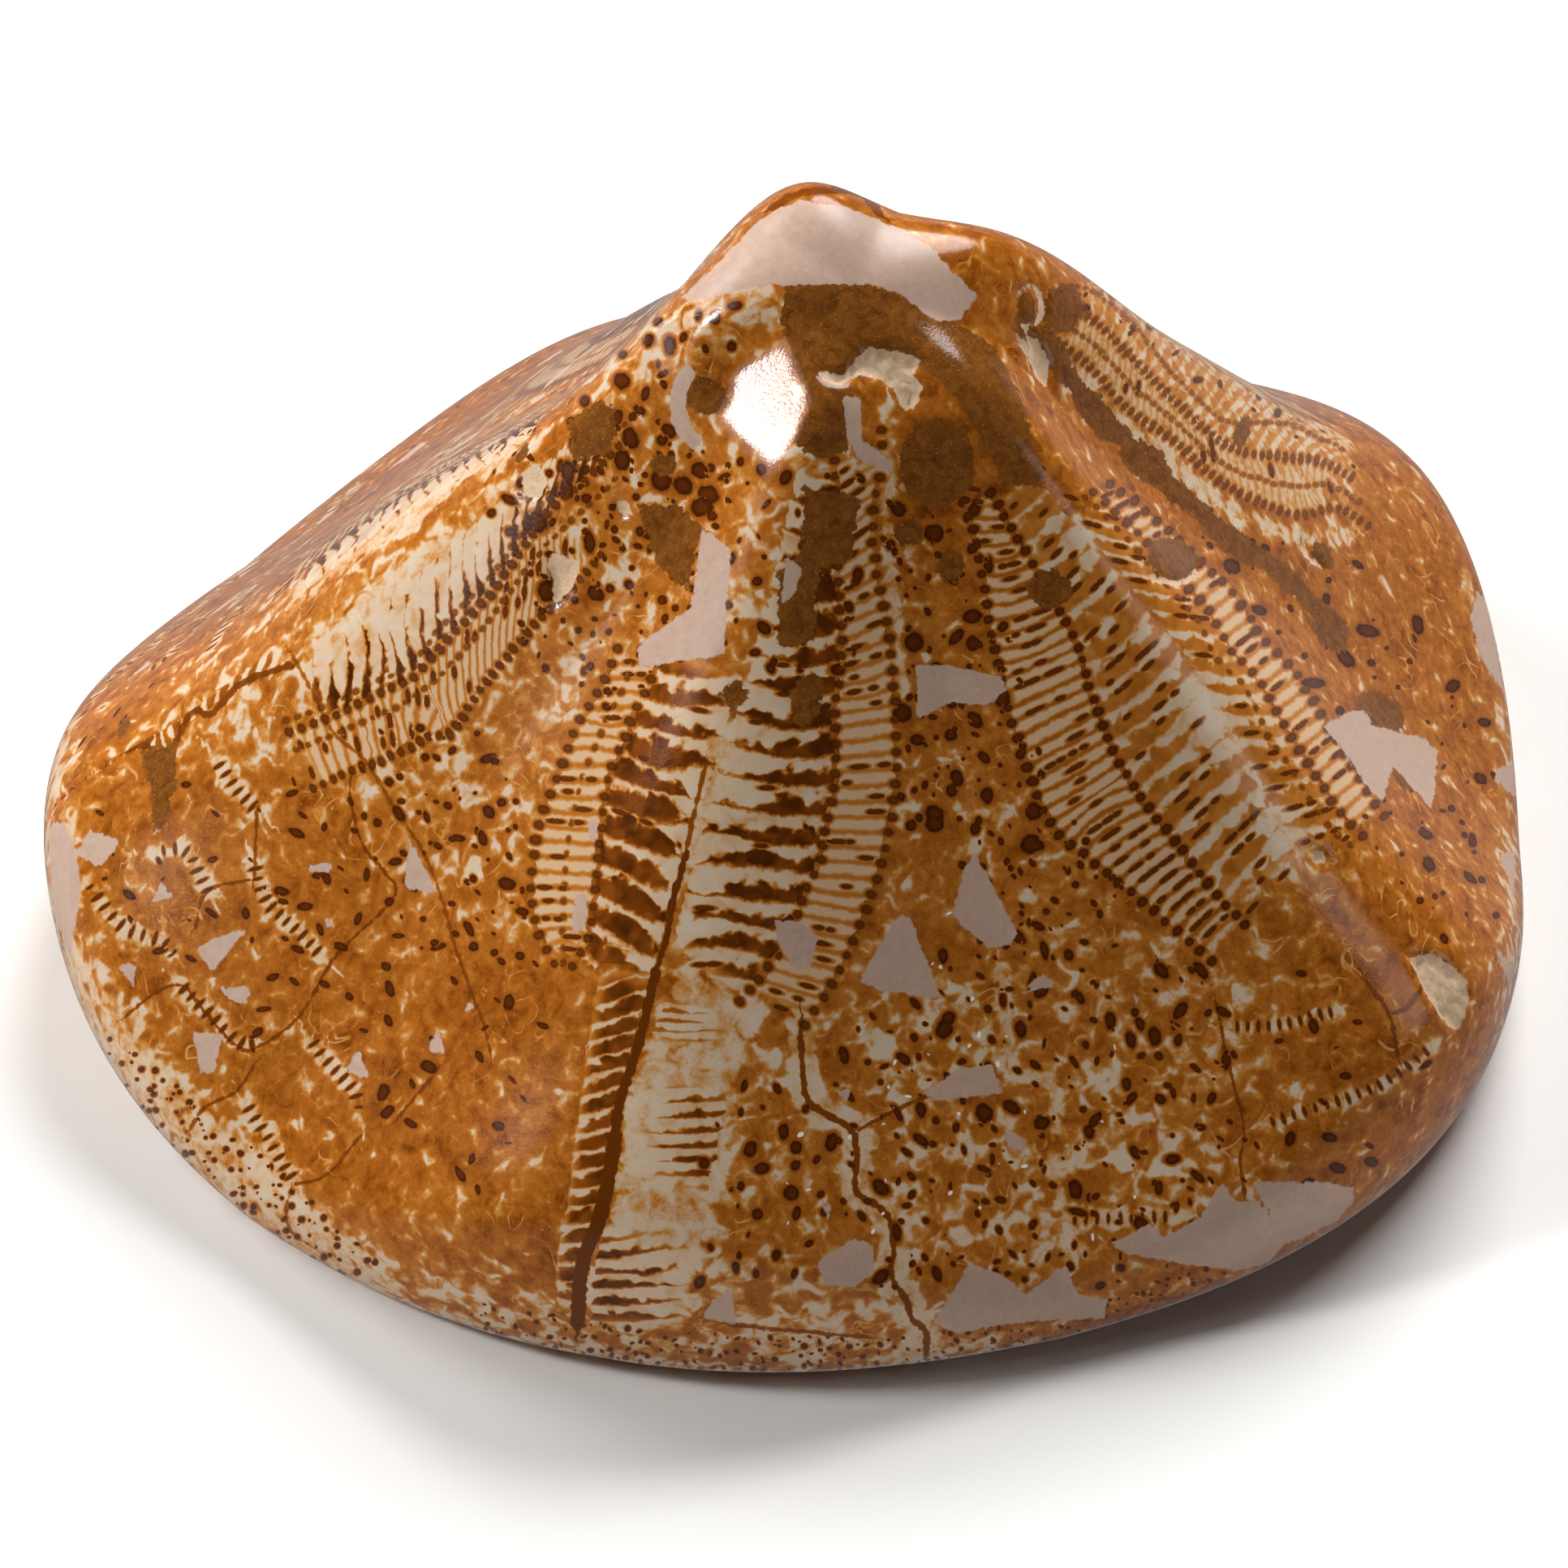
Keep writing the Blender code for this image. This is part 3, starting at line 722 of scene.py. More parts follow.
class Markings:
    """Values on each corner of each triangle; every triangle follows the one marking nearest it,
    so that a line or a spot keeps its edge even where it is finer than the mesh."""

    FAR = 9.0               # a place that no line or spot reaches
    NO_FILL = -2.0          # millimetres inside a filling: well outside it
    PLAIN_STAIN = 0.86      # stain of the ground that no zone covers
    SPOT_REACH = 3.2        # how far a spot rules, in its own radii
    LINE_REACH = 24.0       # and a line, and a pale joint, on the drawing
    JOINT_REACH = 30.0
    BAND_ENDS = 30.0        # over which a band of cross lines fades at its ends, on the drawing
    BAND_TIPS = 0.3         # and toward its tips, as a share of the way across
    FILLED_CELLS = 0.86     # the share of a net's cells that hold a tubercle, chip or filling

    def __init__(self, places):
        self.places = places
        self.live = np.ones(len(places), bool)
        self.centre = places.mean(axis=1)
        self.order = np.argsort(self.centre[:, 0])
        self.sorted_x = self.centre[self.order, 0]
        count = len(places)
        self.spot = np.full((count, 3, 3), self.FAR)
        self.spot[..., 2] = 0
        self.line = self.spot.copy()
        self.joint = self.spot.copy()
        self.comb = np.zeros((count, 3, 3))
        self.bars = np.zeros((count, 3, 3))
        self.fill = np.full((count, 3, 3), self.NO_FILL)
        self.stain_and_sheen = np.full((count, 3), self.PLAIN_STAIN)
        self.spot_gap = np.full(count, self.SPOT_REACH)
        self.line_gap = np.full(count, self.LINE_REACH)
        self.joint_gap = np.full(count, self.JOINT_REACH)

    def near(self, points, reach):
        """Live triangles in the box of some places, widened by a reach."""
        low, high = np.min(points, axis=0) - reach, np.max(points, axis=0) + reach
        first, last = np.searchsorted(self.sorted_x, (low[0], high[0]))
        some = self.order[first:last]
        y = self.centre[some, 1]
        return some[(y > low[1]) & (y < high[1]) & self.live[some]]

    def add_spot(self, x, y, half_x, half_y, angle, dark):
        some = self.near([(x, y)], self.SPOT_REACH * max(half_x, half_y))
        local = (self.places[some] - (x, y)) @ spin(angle).T / (half_x, half_y)
        gap = np.linalg.norm(local.mean(axis=1), axis=-1)
        better = gap < self.spot_gap[some]
        some = some[better]
        self.spot_gap[some] = gap[better]
        self.spot[some, :, :2] = local[better]
        self.spot[some, :, 2] = dark

    def add_row(self, path, pitch, half_x, half_y, dark=1.0, drift=0.12):
        """Spots along a path, each a little off its place; half_x runs across the path."""
        for (x, y), heading in zip(*spaced(path, pitch)):
            dx, dy, grow = chance.normal(0, drift, 3)
            self.add_spot(x + dx * half_y, y + dy * half_y, half_x * (1 + grow), half_y * (1 + grow / 2),
                          heading + math.pi / 2, dark)

    def add_ridges(self, first_path, second_path, count, each, shift=0.5):
        """Small tubercles on the ridges between two rows of pores, drawn out along each ridge."""
        near_row, far_row = amid(first_path, second_path, 0), amid(first_path, second_path, 1)
        least, most, half_width = RIDGE_TUBERCLE
        for number in range(int(count)):
            stop = int((number + shift) / count * (len(near_row) - 1))
            start, run = near_row[stop], far_row[stop] - near_row[stop]
            for share in chance.uniform(*RIDGE_PART, chance.poisson(each)):
                x, y = start + share * run
                half = chance.uniform(least, most) * PER_MM
                self.add_spot(x, y, half, half_width * PER_MM, math.atan2(run[1], run[0]), 0.9)

    def scatter(self, outline, spacing):
        """Places within an outline, one to each cell of a net, moved off it by chance."""
        pitch = spacing * PER_MM
        low, high = np.min(outline, axis=0), np.max(outline, axis=0)
        net = np.meshgrid(*(np.arange(a, b, pitch) for a, b in zip(low, high)))
        cells = np.stack(net, axis=-1).reshape(-1, 2)
        cells[:, 0] += pitch / 2 * (np.round((cells[:, 1] - low[1]) / pitch) % 2)
        cells = cells + chance.uniform(-0.5, 0.5, cells.shape) * pitch
        return cells[inside(outline, cells) & (chance.uniform(0, 1, len(cells)) < self.FILLED_CELLS)]

    def add_field(self, outline, spacing, half, slim, lie):
        """Tubercles scattered within an outline, of many sizes, lying roughly one way."""
        for x, y in self.scatter(outline, spacing):
            size = half * PER_MM * math.exp(min(chance.normal(0, 0.4), 0.4))
            narrow = size * min(1.0, slim * math.exp(chance.normal(0, 0.2)))
            self.add_spot(x, y, size, narrow, math.radians(lie + chance.normal(0, 35)), 1.0)

    def add_chip_glints(self, outline, spacing):
        # Painted glints: each chip is laid as a white fleck, its darkness below zero.
        for x, y in self.scatter(outline, spacing):
            size = chance.uniform(*CHIP_HALF) * PER_MM
            narrow = size * chance.uniform(*CHIP_SLIM)
            self.add_spot(x, y, size, narrow, chance.uniform(0, math.pi), -1.0)

    def add_line(self, value, gaps, path, half_width, strength):
        path = trail(path)
        some = self.near(path, gaps.max())
        across, _ = measure(path, self.centre[some])
        gap = np.abs(across) - half_width
        better = gap < gaps[some]
        some = some[better]
        if len(some):
            gaps[some] = gap[better]
            across, _ = measure(path, self.places[some].reshape(-1, 2))
            value[some, :, 0] = across.reshape(-1, 3) / PER_MM
            value[some, :, 1] = half_width / PER_MM
            value[some, :, 2] = strength

    def add_fill(self, kind, outline):
        some = self.near(outline, 30)
        depth = depth_in(outline, self.places[some].reshape(-1, 2)).reshape(-1, 3) / PER_MM
        self.fill[some, :, kind] = np.maximum(self.fill[some, :, kind], depth)

    def add_zone(self, outline, level, softness):
        some = self.near(outline, softness)
        depth = depth_in(outline, self.places[some].reshape(-1, 2)).reshape(-1, 3)
        self.stain_and_sheen[some] += (level - self.stain_and_sheen[some]) * eased(depth / softness * 0.5 + 0.5)

    def add_band(self, value, first_path, second_path, count, shift, start, dark, tips_fade=False):
        """Cross lines between two paths: value holds their number, the share of the way across
        from where they begin, and their darkness."""
        some = self.near(np.concatenate([first_path, second_path]), 6)
        places = self.places[some].reshape(-1, 2)
        d1, s1 = measure(first_path, places)
        d2, s2 = measure(second_path, places)
        length1, length2 = walk(first_path)[-1], walk(second_path)[-1]
        toward = np.sign(measure(first_path, second_path[len(second_path) // 2][None])[0][0])
        share = np.clip(d1 * toward / (np.abs(d1) + np.abs(d2) + 1e-6), 0, 1)
        number = count * ((1 - share) * s1 / length1 + share * s2 / length2) + shift
        between = (d1 * toward > 0) & (d2 * toward < 0)
        live = (s1 > 1) & (s1 < length1 - 1) & (s2 > 1) & (s2 < length2 - 1)
        on = (between & live).reshape(-1, 3).all(axis=1)
        some = some[on]
        value[some, :, 0] = number.reshape(-1, 3)[on]
        value[some, :, 1] = (share.reshape(-1, 3)[on] - start) / (1 - start)
        fade = 1
        for walked, length in ((s1, length1), (s2, length2)):
            fade = fade * np.clip(np.minimum(walked, length - walked) / self.BAND_ENDS, 0, 1)
        if tips_fade:
            fade = fade * np.clip(share / self.BAND_TIPS, 0, 1)
        value[some, :, 2] = (dark * fade).reshape(-1, 3)[on]


def lay_petals(marks):
    """The petals' bars, combs and rows of pores, and the tubercles on the ridges between them."""
    for (middle, inner, outer, pairs, comb, bars, shift, start, dark,
         more_rows, each, on_bars) in PETAL_SIDES:
        middle, inner, outer = trail(middle), trail(inner), trail(outer)
        marks.add_band(marks.comb, inner, outer, pairs, 0.0, 0.0, comb)
        marks.add_band(marks.bars, middle, inner, bars, shift, start, dark)
        marks.add_ridges(inner, outer, pairs, each)
        marks.add_ridges(middle, inner, *on_bars)
        strength = min(1.0, 0.55 + 0.5 * comb)
        for share in more_rows:
            row = amid(inner, outer, share)
            pitch = walk(row)[-1] / pairs
            across = min(TUBERCLE_ACROSS, TUBERCLE_SHARE * pitch)
            marks.add_row(row, pitch, across, TUBERCLE_ALONG, 0.8 * strength)
        for path in (inner, outer):
            pitch = walk(path)[-1] / pairs
            marks.add_row(path, pitch, PORE_ACROSS, min(PORE_ALONG, PORE_SHARE * pitch), strength)


def lay_shown_pieces(marks):
    """The lines, fillings and bare places that only the side on the drawing has."""
    for tips, roots, count, shift, start, dark in FRINGES:
        marks.add_band(marks.bars, trail(tips), trail(roots), count, shift, start, dark, True)
    for x, y, half_x, half_y, angle in DISCS:
        marks.add_fill(1, oval(x, y, half_x, half_y, math.radians(angle)))
    for path, half_width, strength in DARK_LINES:
        marks.add_line(marks.line, marks.line_gap, path, half_width, strength)
    for kind, outlines in enumerate((GREY_FILL, MUD_FILL, BARE_PITS)):
        for outline in outlines:
            marks.add_fill(kind, outline)
    marks.add_fill(0, ribbon(trail(GREY_ARC), GREY_ARC_HALF))
    marks.add_fill(1, ribbon(trail(MUD_STREAK), MUD_STREAK_HALF))
    for rim in PALE_RIMS:
        marks.add_fill(2, ribbon(trail(rim), RIM_HALF))


def lay_hidden_pieces(marks):
    """Angular lilac fillings and round mud ones strewn over the far side."""
    apart, least, most = HIDDEN_LILAC
    for x, y in marks.scatter(HIDDEN_GROUND, apart):
        turns = np.sort(chance.uniform(0, 2 * math.pi, chance.integers(4, 7)))
        reach = chance.uniform(least, most, len(turns)) * PER_MM
        marks.add_fill(0, np.stack([x + reach * np.cos(turns), y + reach * np.sin(turns)], axis=-1))
    apart, least, most = HIDDEN_MUD
    for x, y in marks.scatter(HIDDEN_GROUND, apart):
        half_x, half_y = chance.uniform(least, most, 2) * PER_MM
        marks.add_fill(1, oval(x, y, half_x, half_y, chance.uniform(0, math.pi)))


def lay_markings(places, shown):
    """Every marking of the stone, first on the side that the drawing shows and then on the far one."""
    marks = Markings(places)
    for side, size, lay_pieces in ((shown, 1.0, lay_shown_pieces),
                                   (~shown, HIDDEN_SIZE, lay_hidden_pieces)):
        marks.live = side
        lay_petals(marks)
        for path, _, _, pitch, half_length, half_width in TOOTHED_JOINTS:
            marks.add_row(trail(path), pitch, half_length, half_width, 0.9)
        for outline, spacing, half, slim, lie in TUBERCLES:
            marks.add_field(outline, spacing, half * size, slim, lie)
        for outline, spacing in CHIP_GLINTS:
            marks.add_chip_glints(outline, spacing)
        for path, half_width, strength, *_ in PALE_JOINTS + TOOTHED_JOINTS:
            marks.add_line(marks.joint, marks.joint_gap, path, half_width, strength)
        lay_pieces(marks)
        for outline, level, softness in ZONES:
            marks.add_zone(outline, level, softness)
    return marks


# ---------------------------------------------------------------- the stone
# Small flats that the polishing wheel left near the top: place on the drawing, radius in
# millimetres, the way the flat faces.
FLATS = (
    ((945, 494), 7.0, (-0.457, -0.463, 0.758)),
    ((818, 424), 3.0, (-0.52, -0.42, 0.74)),
)
FLAT_PRESS = 0.93       # how far each is pressed toward a true plane
FLAT_EASE = 0.55        # the share of its radius over which it eases into the dome
FLAT_NEAREST = 30.0     # they lie at least this far toward the eye, in millimetres,
FLAT_LOWEST = 5         # and above this place along the section
# The bare hollows, in millimetres: how deep they are, and how wide their sloping edge is.
HOLLOW_DEPTH = 0.45
HOLLOW_SLOPE = 0.8


def grind_flats(points, station):
    """Press each flat into the dome, easing out toward its edge."""
    seen = on_drawing(points)
    elsewhere = (points @ sight_axes()[0] < FLAT_NEAREST) | (station > FLAT_LOWEST)
    for place, radius, facing in FLATS:
        gap = np.linalg.norm(seen - place, axis=1) + SHEET * elsewhere
        middle = points[gap.argmin()].copy()
        facing = np.array(facing) / np.linalg.norm(facing)
        round_it = np.arctan2(*(seen - place).T)
        reach = radius * (1 + 0.10 * np.sin(2 * round_it + 1) + 0.07 * np.sin(5 * round_it))
        share = eased((1 - np.linalg.norm(points - middle, axis=1) / reach) / FLAT_EASE)
        above = (points - middle) @ facing
        points -= (FLAT_PRESS * share * above)[:, None] * facing


def sink_hollows(points, faces, depths):
    """Lower the bare hollows a little under the polish, with a rough floor."""
    corners = points[faces]
    across = np.cross(corners[:, 1] - corners[:, 0], corners[:, 2] - corners[:, 0])
    facing = np.zeros_like(points)
    deepest = np.full(len(points), -1.0)
    for corner in range(3):
        np.add.at(facing, faces[:, corner], across)
        np.maximum.at(deepest, faces[:, corner], depths[:, corner])
    facing /= np.linalg.norm(facing, axis=1)[:, None] + 1e-12
    share = np.clip(deepest / HOLLOW_SLOPE + 0.5, 0, 1)
    rough = HOLLOW_DEPTH * chance.uniform(0.5, 1.2, len(points))
    points -= (share * rough)[:, None] * facing


def build_stone():
    points, bearing, station, faces = stone_mesh()
    grind_flats(points, station)
    marks = lay_markings(*corner_places(points, bearing, station, faces))
    sink_hollows(points, faces, marks.fill[..., 2])
    mesh = bpy.data.meshes.new("polished_stone_urchin")
    mesh.from_pydata((points * MM).tolist(), [], faces.tolist())
    for name in LAID:
        layer = mesh.attributes.new(name, "FLOAT_VECTOR", "CORNER")
        layer.data.foreach_set("vector", getattr(marks, name).astype(np.float32).ravel())
    layer = mesh.attributes.new("stain_and_sheen", "FLOAT", "CORNER")
    layer.data.foreach_set("value", marks.stain_and_sheen.astype(np.float32).ravel())
    mesh.polygons.foreach_set("use_smooth", np.ones(len(faces), bool))
    mesh.update()
    stone = bpy.data.objects.new("fossil_urchin", mesh)
    bpy.context.scene.collection.objects.link(stone)
    return stone


# ---------------------------------------------------------------- the finish
MATH = "ShaderNodeMath"
RANGE = "ShaderNodeMapRange"
MIX = "ShaderNodeMix"
EASE = {"interpolation_type": "SMOOTHSTEP"}
TINT = {"data_type": "RGBA"}
# The stone's own patterns: millimetres from one patch to the next, detail, roughness, distortion. The
# grain and the specks in the mud are finer in the stone, and are drawn as coarse as the eye can see.
PATTERNS = {
    "drift": (4.0, 3.0, 0.55, 0.4),     # slow drifts of the stain
    "vein": (3.3, 1.0, 0.5, 1.0),       # healed cracks
    "island": (1.6, 1.6, 0.5, 0.7),     # ragged islands of stain
    "mottle": (0.95, 4.0, 0.62, 0.8),   # clouding within an island
    "stray": (0.67, 3.0, 0.55, 0.0),    # raggedness of every edge
    "fleck": (0.38, 3.0, 0.7, 0.3),     # flecks of white calcite
    "grain": (0.24, 2.0, 0.5, 0.0),
    "speck": (0.17, 2.0, 0.5, 0.0),     # pale specks in the mud
}
# Colours of the stain, from white calcite to the darkest iron.
STAIN_COLOURS = ((0.00, "CFBBA3"), (0.13, "CDB091"), (0.26, "C38C4C"), (0.40, "BA732B"), (0.54, "A35D1A"),
                 (0.68, "86450F"), (0.84, "542806"), (1.00, "351703"))


def linear(code):
    """Linear colour of an sRGB hex code."""
    parts = [int(code[k:k + 2], 16) / 255 for k in (0, 2, 4)]
    return tuple(c / 12.92 if c <= 0.04045 else ((c + 0.055) / 1.055) ** 2.4 for c in parts) + (1.0,)


def add(tree, kind, links=None, **settings):
    """Add a node with its settings and give back its outputs; links gives an input, by name or
    number, a socket, a value or a colour's hex code."""
    made = tree.nodes.new(kind)
    for name, value in settings.items():
        setattr(made, name, value)
    for key, value in (links or {}).items():
        if isinstance(value, bpy.types.NodeSocket):
            tree.links.new(value, made.inputs[key])
        else:
            made.inputs[key].default_value = linear(value) if isinstance(value, str) else value
    return made.outputs


def stone_patterns(tree):
    """The stone's own patterns, at its real size; the sway and the stray swing about zero."""
    place = add(tree, "ShaderNodeTexCoord")["Object"]
    place = add(tree, "ShaderNodeVectorMath", {0: place, "Scale": 1 / MM}, operation="SCALE")[0]
    found = {}
    for name, (apart, detail, roughness, distortion) in PATTERNS.items():
        found[name] = add(tree, "ShaderNodeTexNoise", {"Vector": place, "Scale": 1 / apart, "Detail": detail,
                                                       "Roughness": roughness, "Distortion": distortion})[0]
    for name, source in (("sway", "island"), ("stray", "stray")):
        found[name] = add(tree, MATH, {0: found[source], 1: 0.5}, operation="SUBTRACT")[0]
    return SimpleNamespace(**found)


def laid_markings(tree):
    """The markings' values on the mesh, each taken apart into its three, and the stain."""
    found = {"stain_and_sheen": add(tree, "ShaderNodeAttribute", attribute_name="stain_and_sheen")["Fac"]}
    for name in LAID:
        value = add(tree, "ShaderNodeAttribute", attribute_name=name)["Vector"]
        found[name] = list(add(tree, "ShaderNodeSeparateXYZ", {0: value}))
    return SimpleNamespace(**found)


def stirred(tree, value, *parts):
    """Add patterns to a value, each times its weight."""
    for pattern, weight in parts:
        value = add(tree, MATH, {0: pattern, 1: weight, 2: value}, operation="MULTIPLY_ADD")[0]
    return value


def depth_in_line(tree, stone, line, stray):
    """Millimetres inside the ragged edge of a line."""
    across, half_width, _ = line
    across = add(tree, MATH, {0: across}, operation="ABSOLUTE")[0]
    depth = add(tree, MATH, {0: half_width, 1: across}, operation="SUBTRACT")[0]
    return stirred(tree, depth, (stone.stray, stray))


def stain_level(tree, stone, marks):
    """How far iron has stained the ground, which pales toward the joints between the plates; a few pale
    zones in it are painted highlight on the right petal's crest.
    """
    depth = depth_in_line(tree, stone, marks.joint, 0.9)
    pale = add(tree, RANGE, {"Value": depth, "From Min": -0.6, "From Max": 0.4}, **EASE)[0]
    pale = add(tree, MATH, {0: pale, 1: marks.joint[2]}, operation="MULTIPLY")[0]
    return stirred(tree, marks.stain_and_sheen, (pale, -0.62))


def stain_islands(tree, stone, level):
    """The stain lies in ragged islands with white calcite between them."""
    island = stirred(tree, level, (stone.island, 2.1), (stone.mottle, 0.4), (stone.drift, 0.5))
    island = add(tree, RANGE, {"Value": island, "From Min": 1.80, "From Max": 2.14})[0]
    deep = add(tree, MATH, {0: level, 1: 0.45, 2: 0.09}, operation="MULTIPLY_ADD")[0]
    deep = add(tree, MATH, {0: deep, 1: 0.4}, operation="MAXIMUM")[0]
    stain_and_sheen = add(tree, MIX, {"Factor": island, "A": 0.10, "B": deep})[0]
    stain_and_sheen = stirred(tree, stain_and_sheen, (stone.drift, 0.34), (stone.grain, 0.18), (stone.mottle, 0.40),
                    (stone.sway, 0.55))
    return add(tree, MATH, {0: stain_and_sheen, 1: 0.39}, operation="SUBTRACT")[0]


def veins_and_flecks(tree, stone, stain_and_sheen):
    """Curly white veins where the calcite healed, fading in and out, and white flecks."""
    vein = add(tree, MATH, {0: stone.vein, 1: 0.5}, operation="SUBTRACT")[0]
    vein = add(tree, MATH, {0: vein}, operation="ABSOLUTE")[0]
    vein = add(tree, RANGE, {"Value": vein, "From Min": 0.020, "From Max": 0.006}, **EASE)[0]
    here = add(tree, RANGE, {"Value": stone.drift, "From Min": 0.52, "From Max": 0.66}, **EASE)[0]
    vein = add(tree, MATH, {0: vein, 1: here}, operation="MULTIPLY")[0]
    stain_and_sheen = add(tree, MIX, {"Factor": vein, "A": stain_and_sheen, "B": 0.24})[0]
    fleck = add(tree, RANGE, {"Value": stone.fleck, "From Min": 0.62, "From Max": 0.72, "To Max": 0.7},
                **EASE)[0]
    return add(tree, MIX, {"Factor": fleck, "A": stain_and_sheen, "B": 0.22})[0]


def crests(tree, number):
    """0 midway between two cross lines, rising to 1 on each of them."""
    doubled = add(tree, MATH, {0: number, 1: 2.0}, operation="MULTIPLY")[0]
    return add(tree, MATH, {0: doubled, 1: 1.0}, operation="PINGPONG")[0]


def laid_over(tree, stone, stain_and_sheen, marking, dark, low, high):
    """A marking over the stain, from where it is dark enough, with a ragged edge."""
    share = stirred(tree, dark, (stone.stray, 0.5))
    share = add(tree, RANGE, {"Value": share, "From Min": low, "From Max": high}, **EASE)[0]
    return add(tree, MIX, {"Factor": share, "A": stain_and_sheen, "B": marking})[0]


def petal_bars(tree, stone, bars, level, stain_and_sheen):
    """Dark bars on white between a petal's middle and its pores, pointed toward the middle. Deeper
    stain widens them, and closes them up at their points."""
    number, out, dark = bars
    bar = crests(tree, stirred(tree, number, (stone.stray, 0.35), (stone.sway, 0.6)))
    wide = add(tree, RANGE, {"Value": out, "From Max": 0.62, "To Min": 0.02, "To Max": 0.62})[0]
    root = add(tree, RANGE, {"Value": out, "From Min": 0.86, "To Min": 1.0, "To Max": 0.8}, **EASE)[0]
    wide = add(tree, MATH, {0: wide, 1: root}, operation="MULTIPLY")[0]
    full = add(tree, MATH, {0: level, 1: 0.6, 2: 0.7}, operation="MULTIPLY_ADD")[0]
    brim = add(tree, RANGE, {"Value": level, "From Min": 0.75, "From Max": 1.05, "To Max": 0.75})[0]
    inner = add(tree, RANGE, {"Value": out, "From Min": 0.75, "From Max": 0.15})[0]
    bar = stirred(tree, bar, (wide, full), (brim, inner), (stone.mottle, 0.3), (stone.sway, 0.9))
    bar = add(tree, RANGE, {"Value": bar, "From Min": 1.00, "From Max": 1.38}, **EASE)[0]
    bar = add(tree, MATH, {0: bar, 1: dark}, operation="MULTIPLY")[0]
    bar = add(tree, MATH, {0: bar, 1: 0.72, 2: 0.12}, operation="MULTIPLY_ADD")[0]
    return laid_over(tree, stone, stain_and_sheen, stirred(tree, bar, (stone.sway, 0.5)), dark, 0.16, 0.42)


def pore_combs(tree, stone, comb, stain_and_sheen):
    """The comb of fine grooves that joins the pores of each pair."""
    number, _, dark = comb
    tooth = crests(tree, stirred(tree, number, (stone.stray, 0.35)))
    tooth = stirred(tree, tooth, (stone.mottle, 0.6))
    tooth = add(tree, RANGE, {"Value": tooth, "From Min": 0.72, "From Max": 1.26}, **EASE)[0]
    tooth = add(tree, MATH, {0: tooth, 1: dark}, operation="MULTIPLY")[0]
    tooth = add(tree, MATH, {0: tooth, 1: 0.52, 2: 0.16}, operation="MULTIPLY_ADD")[0]
    return laid_over(tree, stone, stain_and_sheen, tooth, dark, 0.12, 0.35)


def dark_lines(tree, stone, line, stain_and_sheen):
    """Cracks and joints filled with iron."""
    depth = depth_in_line(tree, stone, line, 0.6)
    dark = add(tree, RANGE, {"Value": depth, "From Min": -0.07, "From Max": 0.06}, **EASE)[0]
    dark = add(tree, MATH, {0: dark, 1: line[2]}, operation="MULTIPLY")[0]
    return add(tree, MIX, {"Factor": dark, "A": stain_and_sheen, "B": 0.80})[0]


def pore_radius(tree, stone, spot):
    """Way out from the middle of a pore or tubercle, 1 on its ragged edge."""
    across = add(tree, "ShaderNodeCombineXYZ", {0: spot[0], 1: spot[1]})[0]
    radius = add(tree, "ShaderNodeVectorMath", {0: across}, operation="LENGTH")["Value"]
    return stirred(tree, radius, (stone.stray, 0.7))


def pore_fringes(tree, spot, radius, stain_and_sheen):
    """Orange brown fringe round each pore, which never lightens the ground."""
    halo = add(tree, RANGE, {"Value": radius, "From Min": 1.75, "From Max": 1.05}, **EASE)[0]
    halo = add(tree, MATH, {0: halo, 1: spot[2]}, operation="MULTIPLY")[0]
    halo = add(tree, MATH, {0: halo, 1: 0.0}, operation="MAXIMUM")[0]
    fringe = add(tree, MATH, {0: stain_and_sheen, 1: 0.60}, operation="MAXIMUM")[0]
    return add(tree, MIX, {"Factor": halo, "A": stain_and_sheen, "B": fringe})[0]


def stain_colour(tree, stain_and_sheen):
    ramp = add(tree, "ShaderNodeValToRGB", {0: stain_and_sheen})[0]
    elements = ramp.node.color_ramp.elements
    while len(elements) < len(STAIN_COLOURS):
        elements.new(0.5)
    for element, (position, code) in zip(elements, STAIN_COLOURS):
        element.position = position
        element.color = linear(code)
    return ramp


def pores_and_chip_glints(tree, spot, radius, colour):
    """The pores' dark middles, and the chips' painted glints, drawn white, whose darkness is below zero."""
    core = add(tree, RANGE, {"Value": radius, "From Min": 1.15, "From Max": 0.85}, **EASE)[0]
    chip_glint = add(tree, MATH, {0: core, 1: spot[2]}, operation="MULTIPLY")[0]
    core = add(tree, MATH, {0: chip_glint, 1: 0.0}, operation="MAXIMUM")[0]
    chip_glint = add(tree, MATH, {0: chip_glint, 1: -1.0}, operation="MULTIPLY")[0]
    rim = add(tree, RANGE, {"Value": radius, "From Min": 0.35, "From Max": 0.85}, **EASE)[0]
    pore = add(tree, MIX, {"Factor": rim, 6: "592808", 7: "411B04"}, **TINT)[2]
    colour = add(tree, MIX, {"Factor": core, 6: colour, 7: pore}, **TINT)[2]
    # Painted glints: the chips drawn near white.
    return add(tree, MIX, {"Factor": chip_glint, 6: colour, 7: "F2EEE8"}, **TINT)[2]


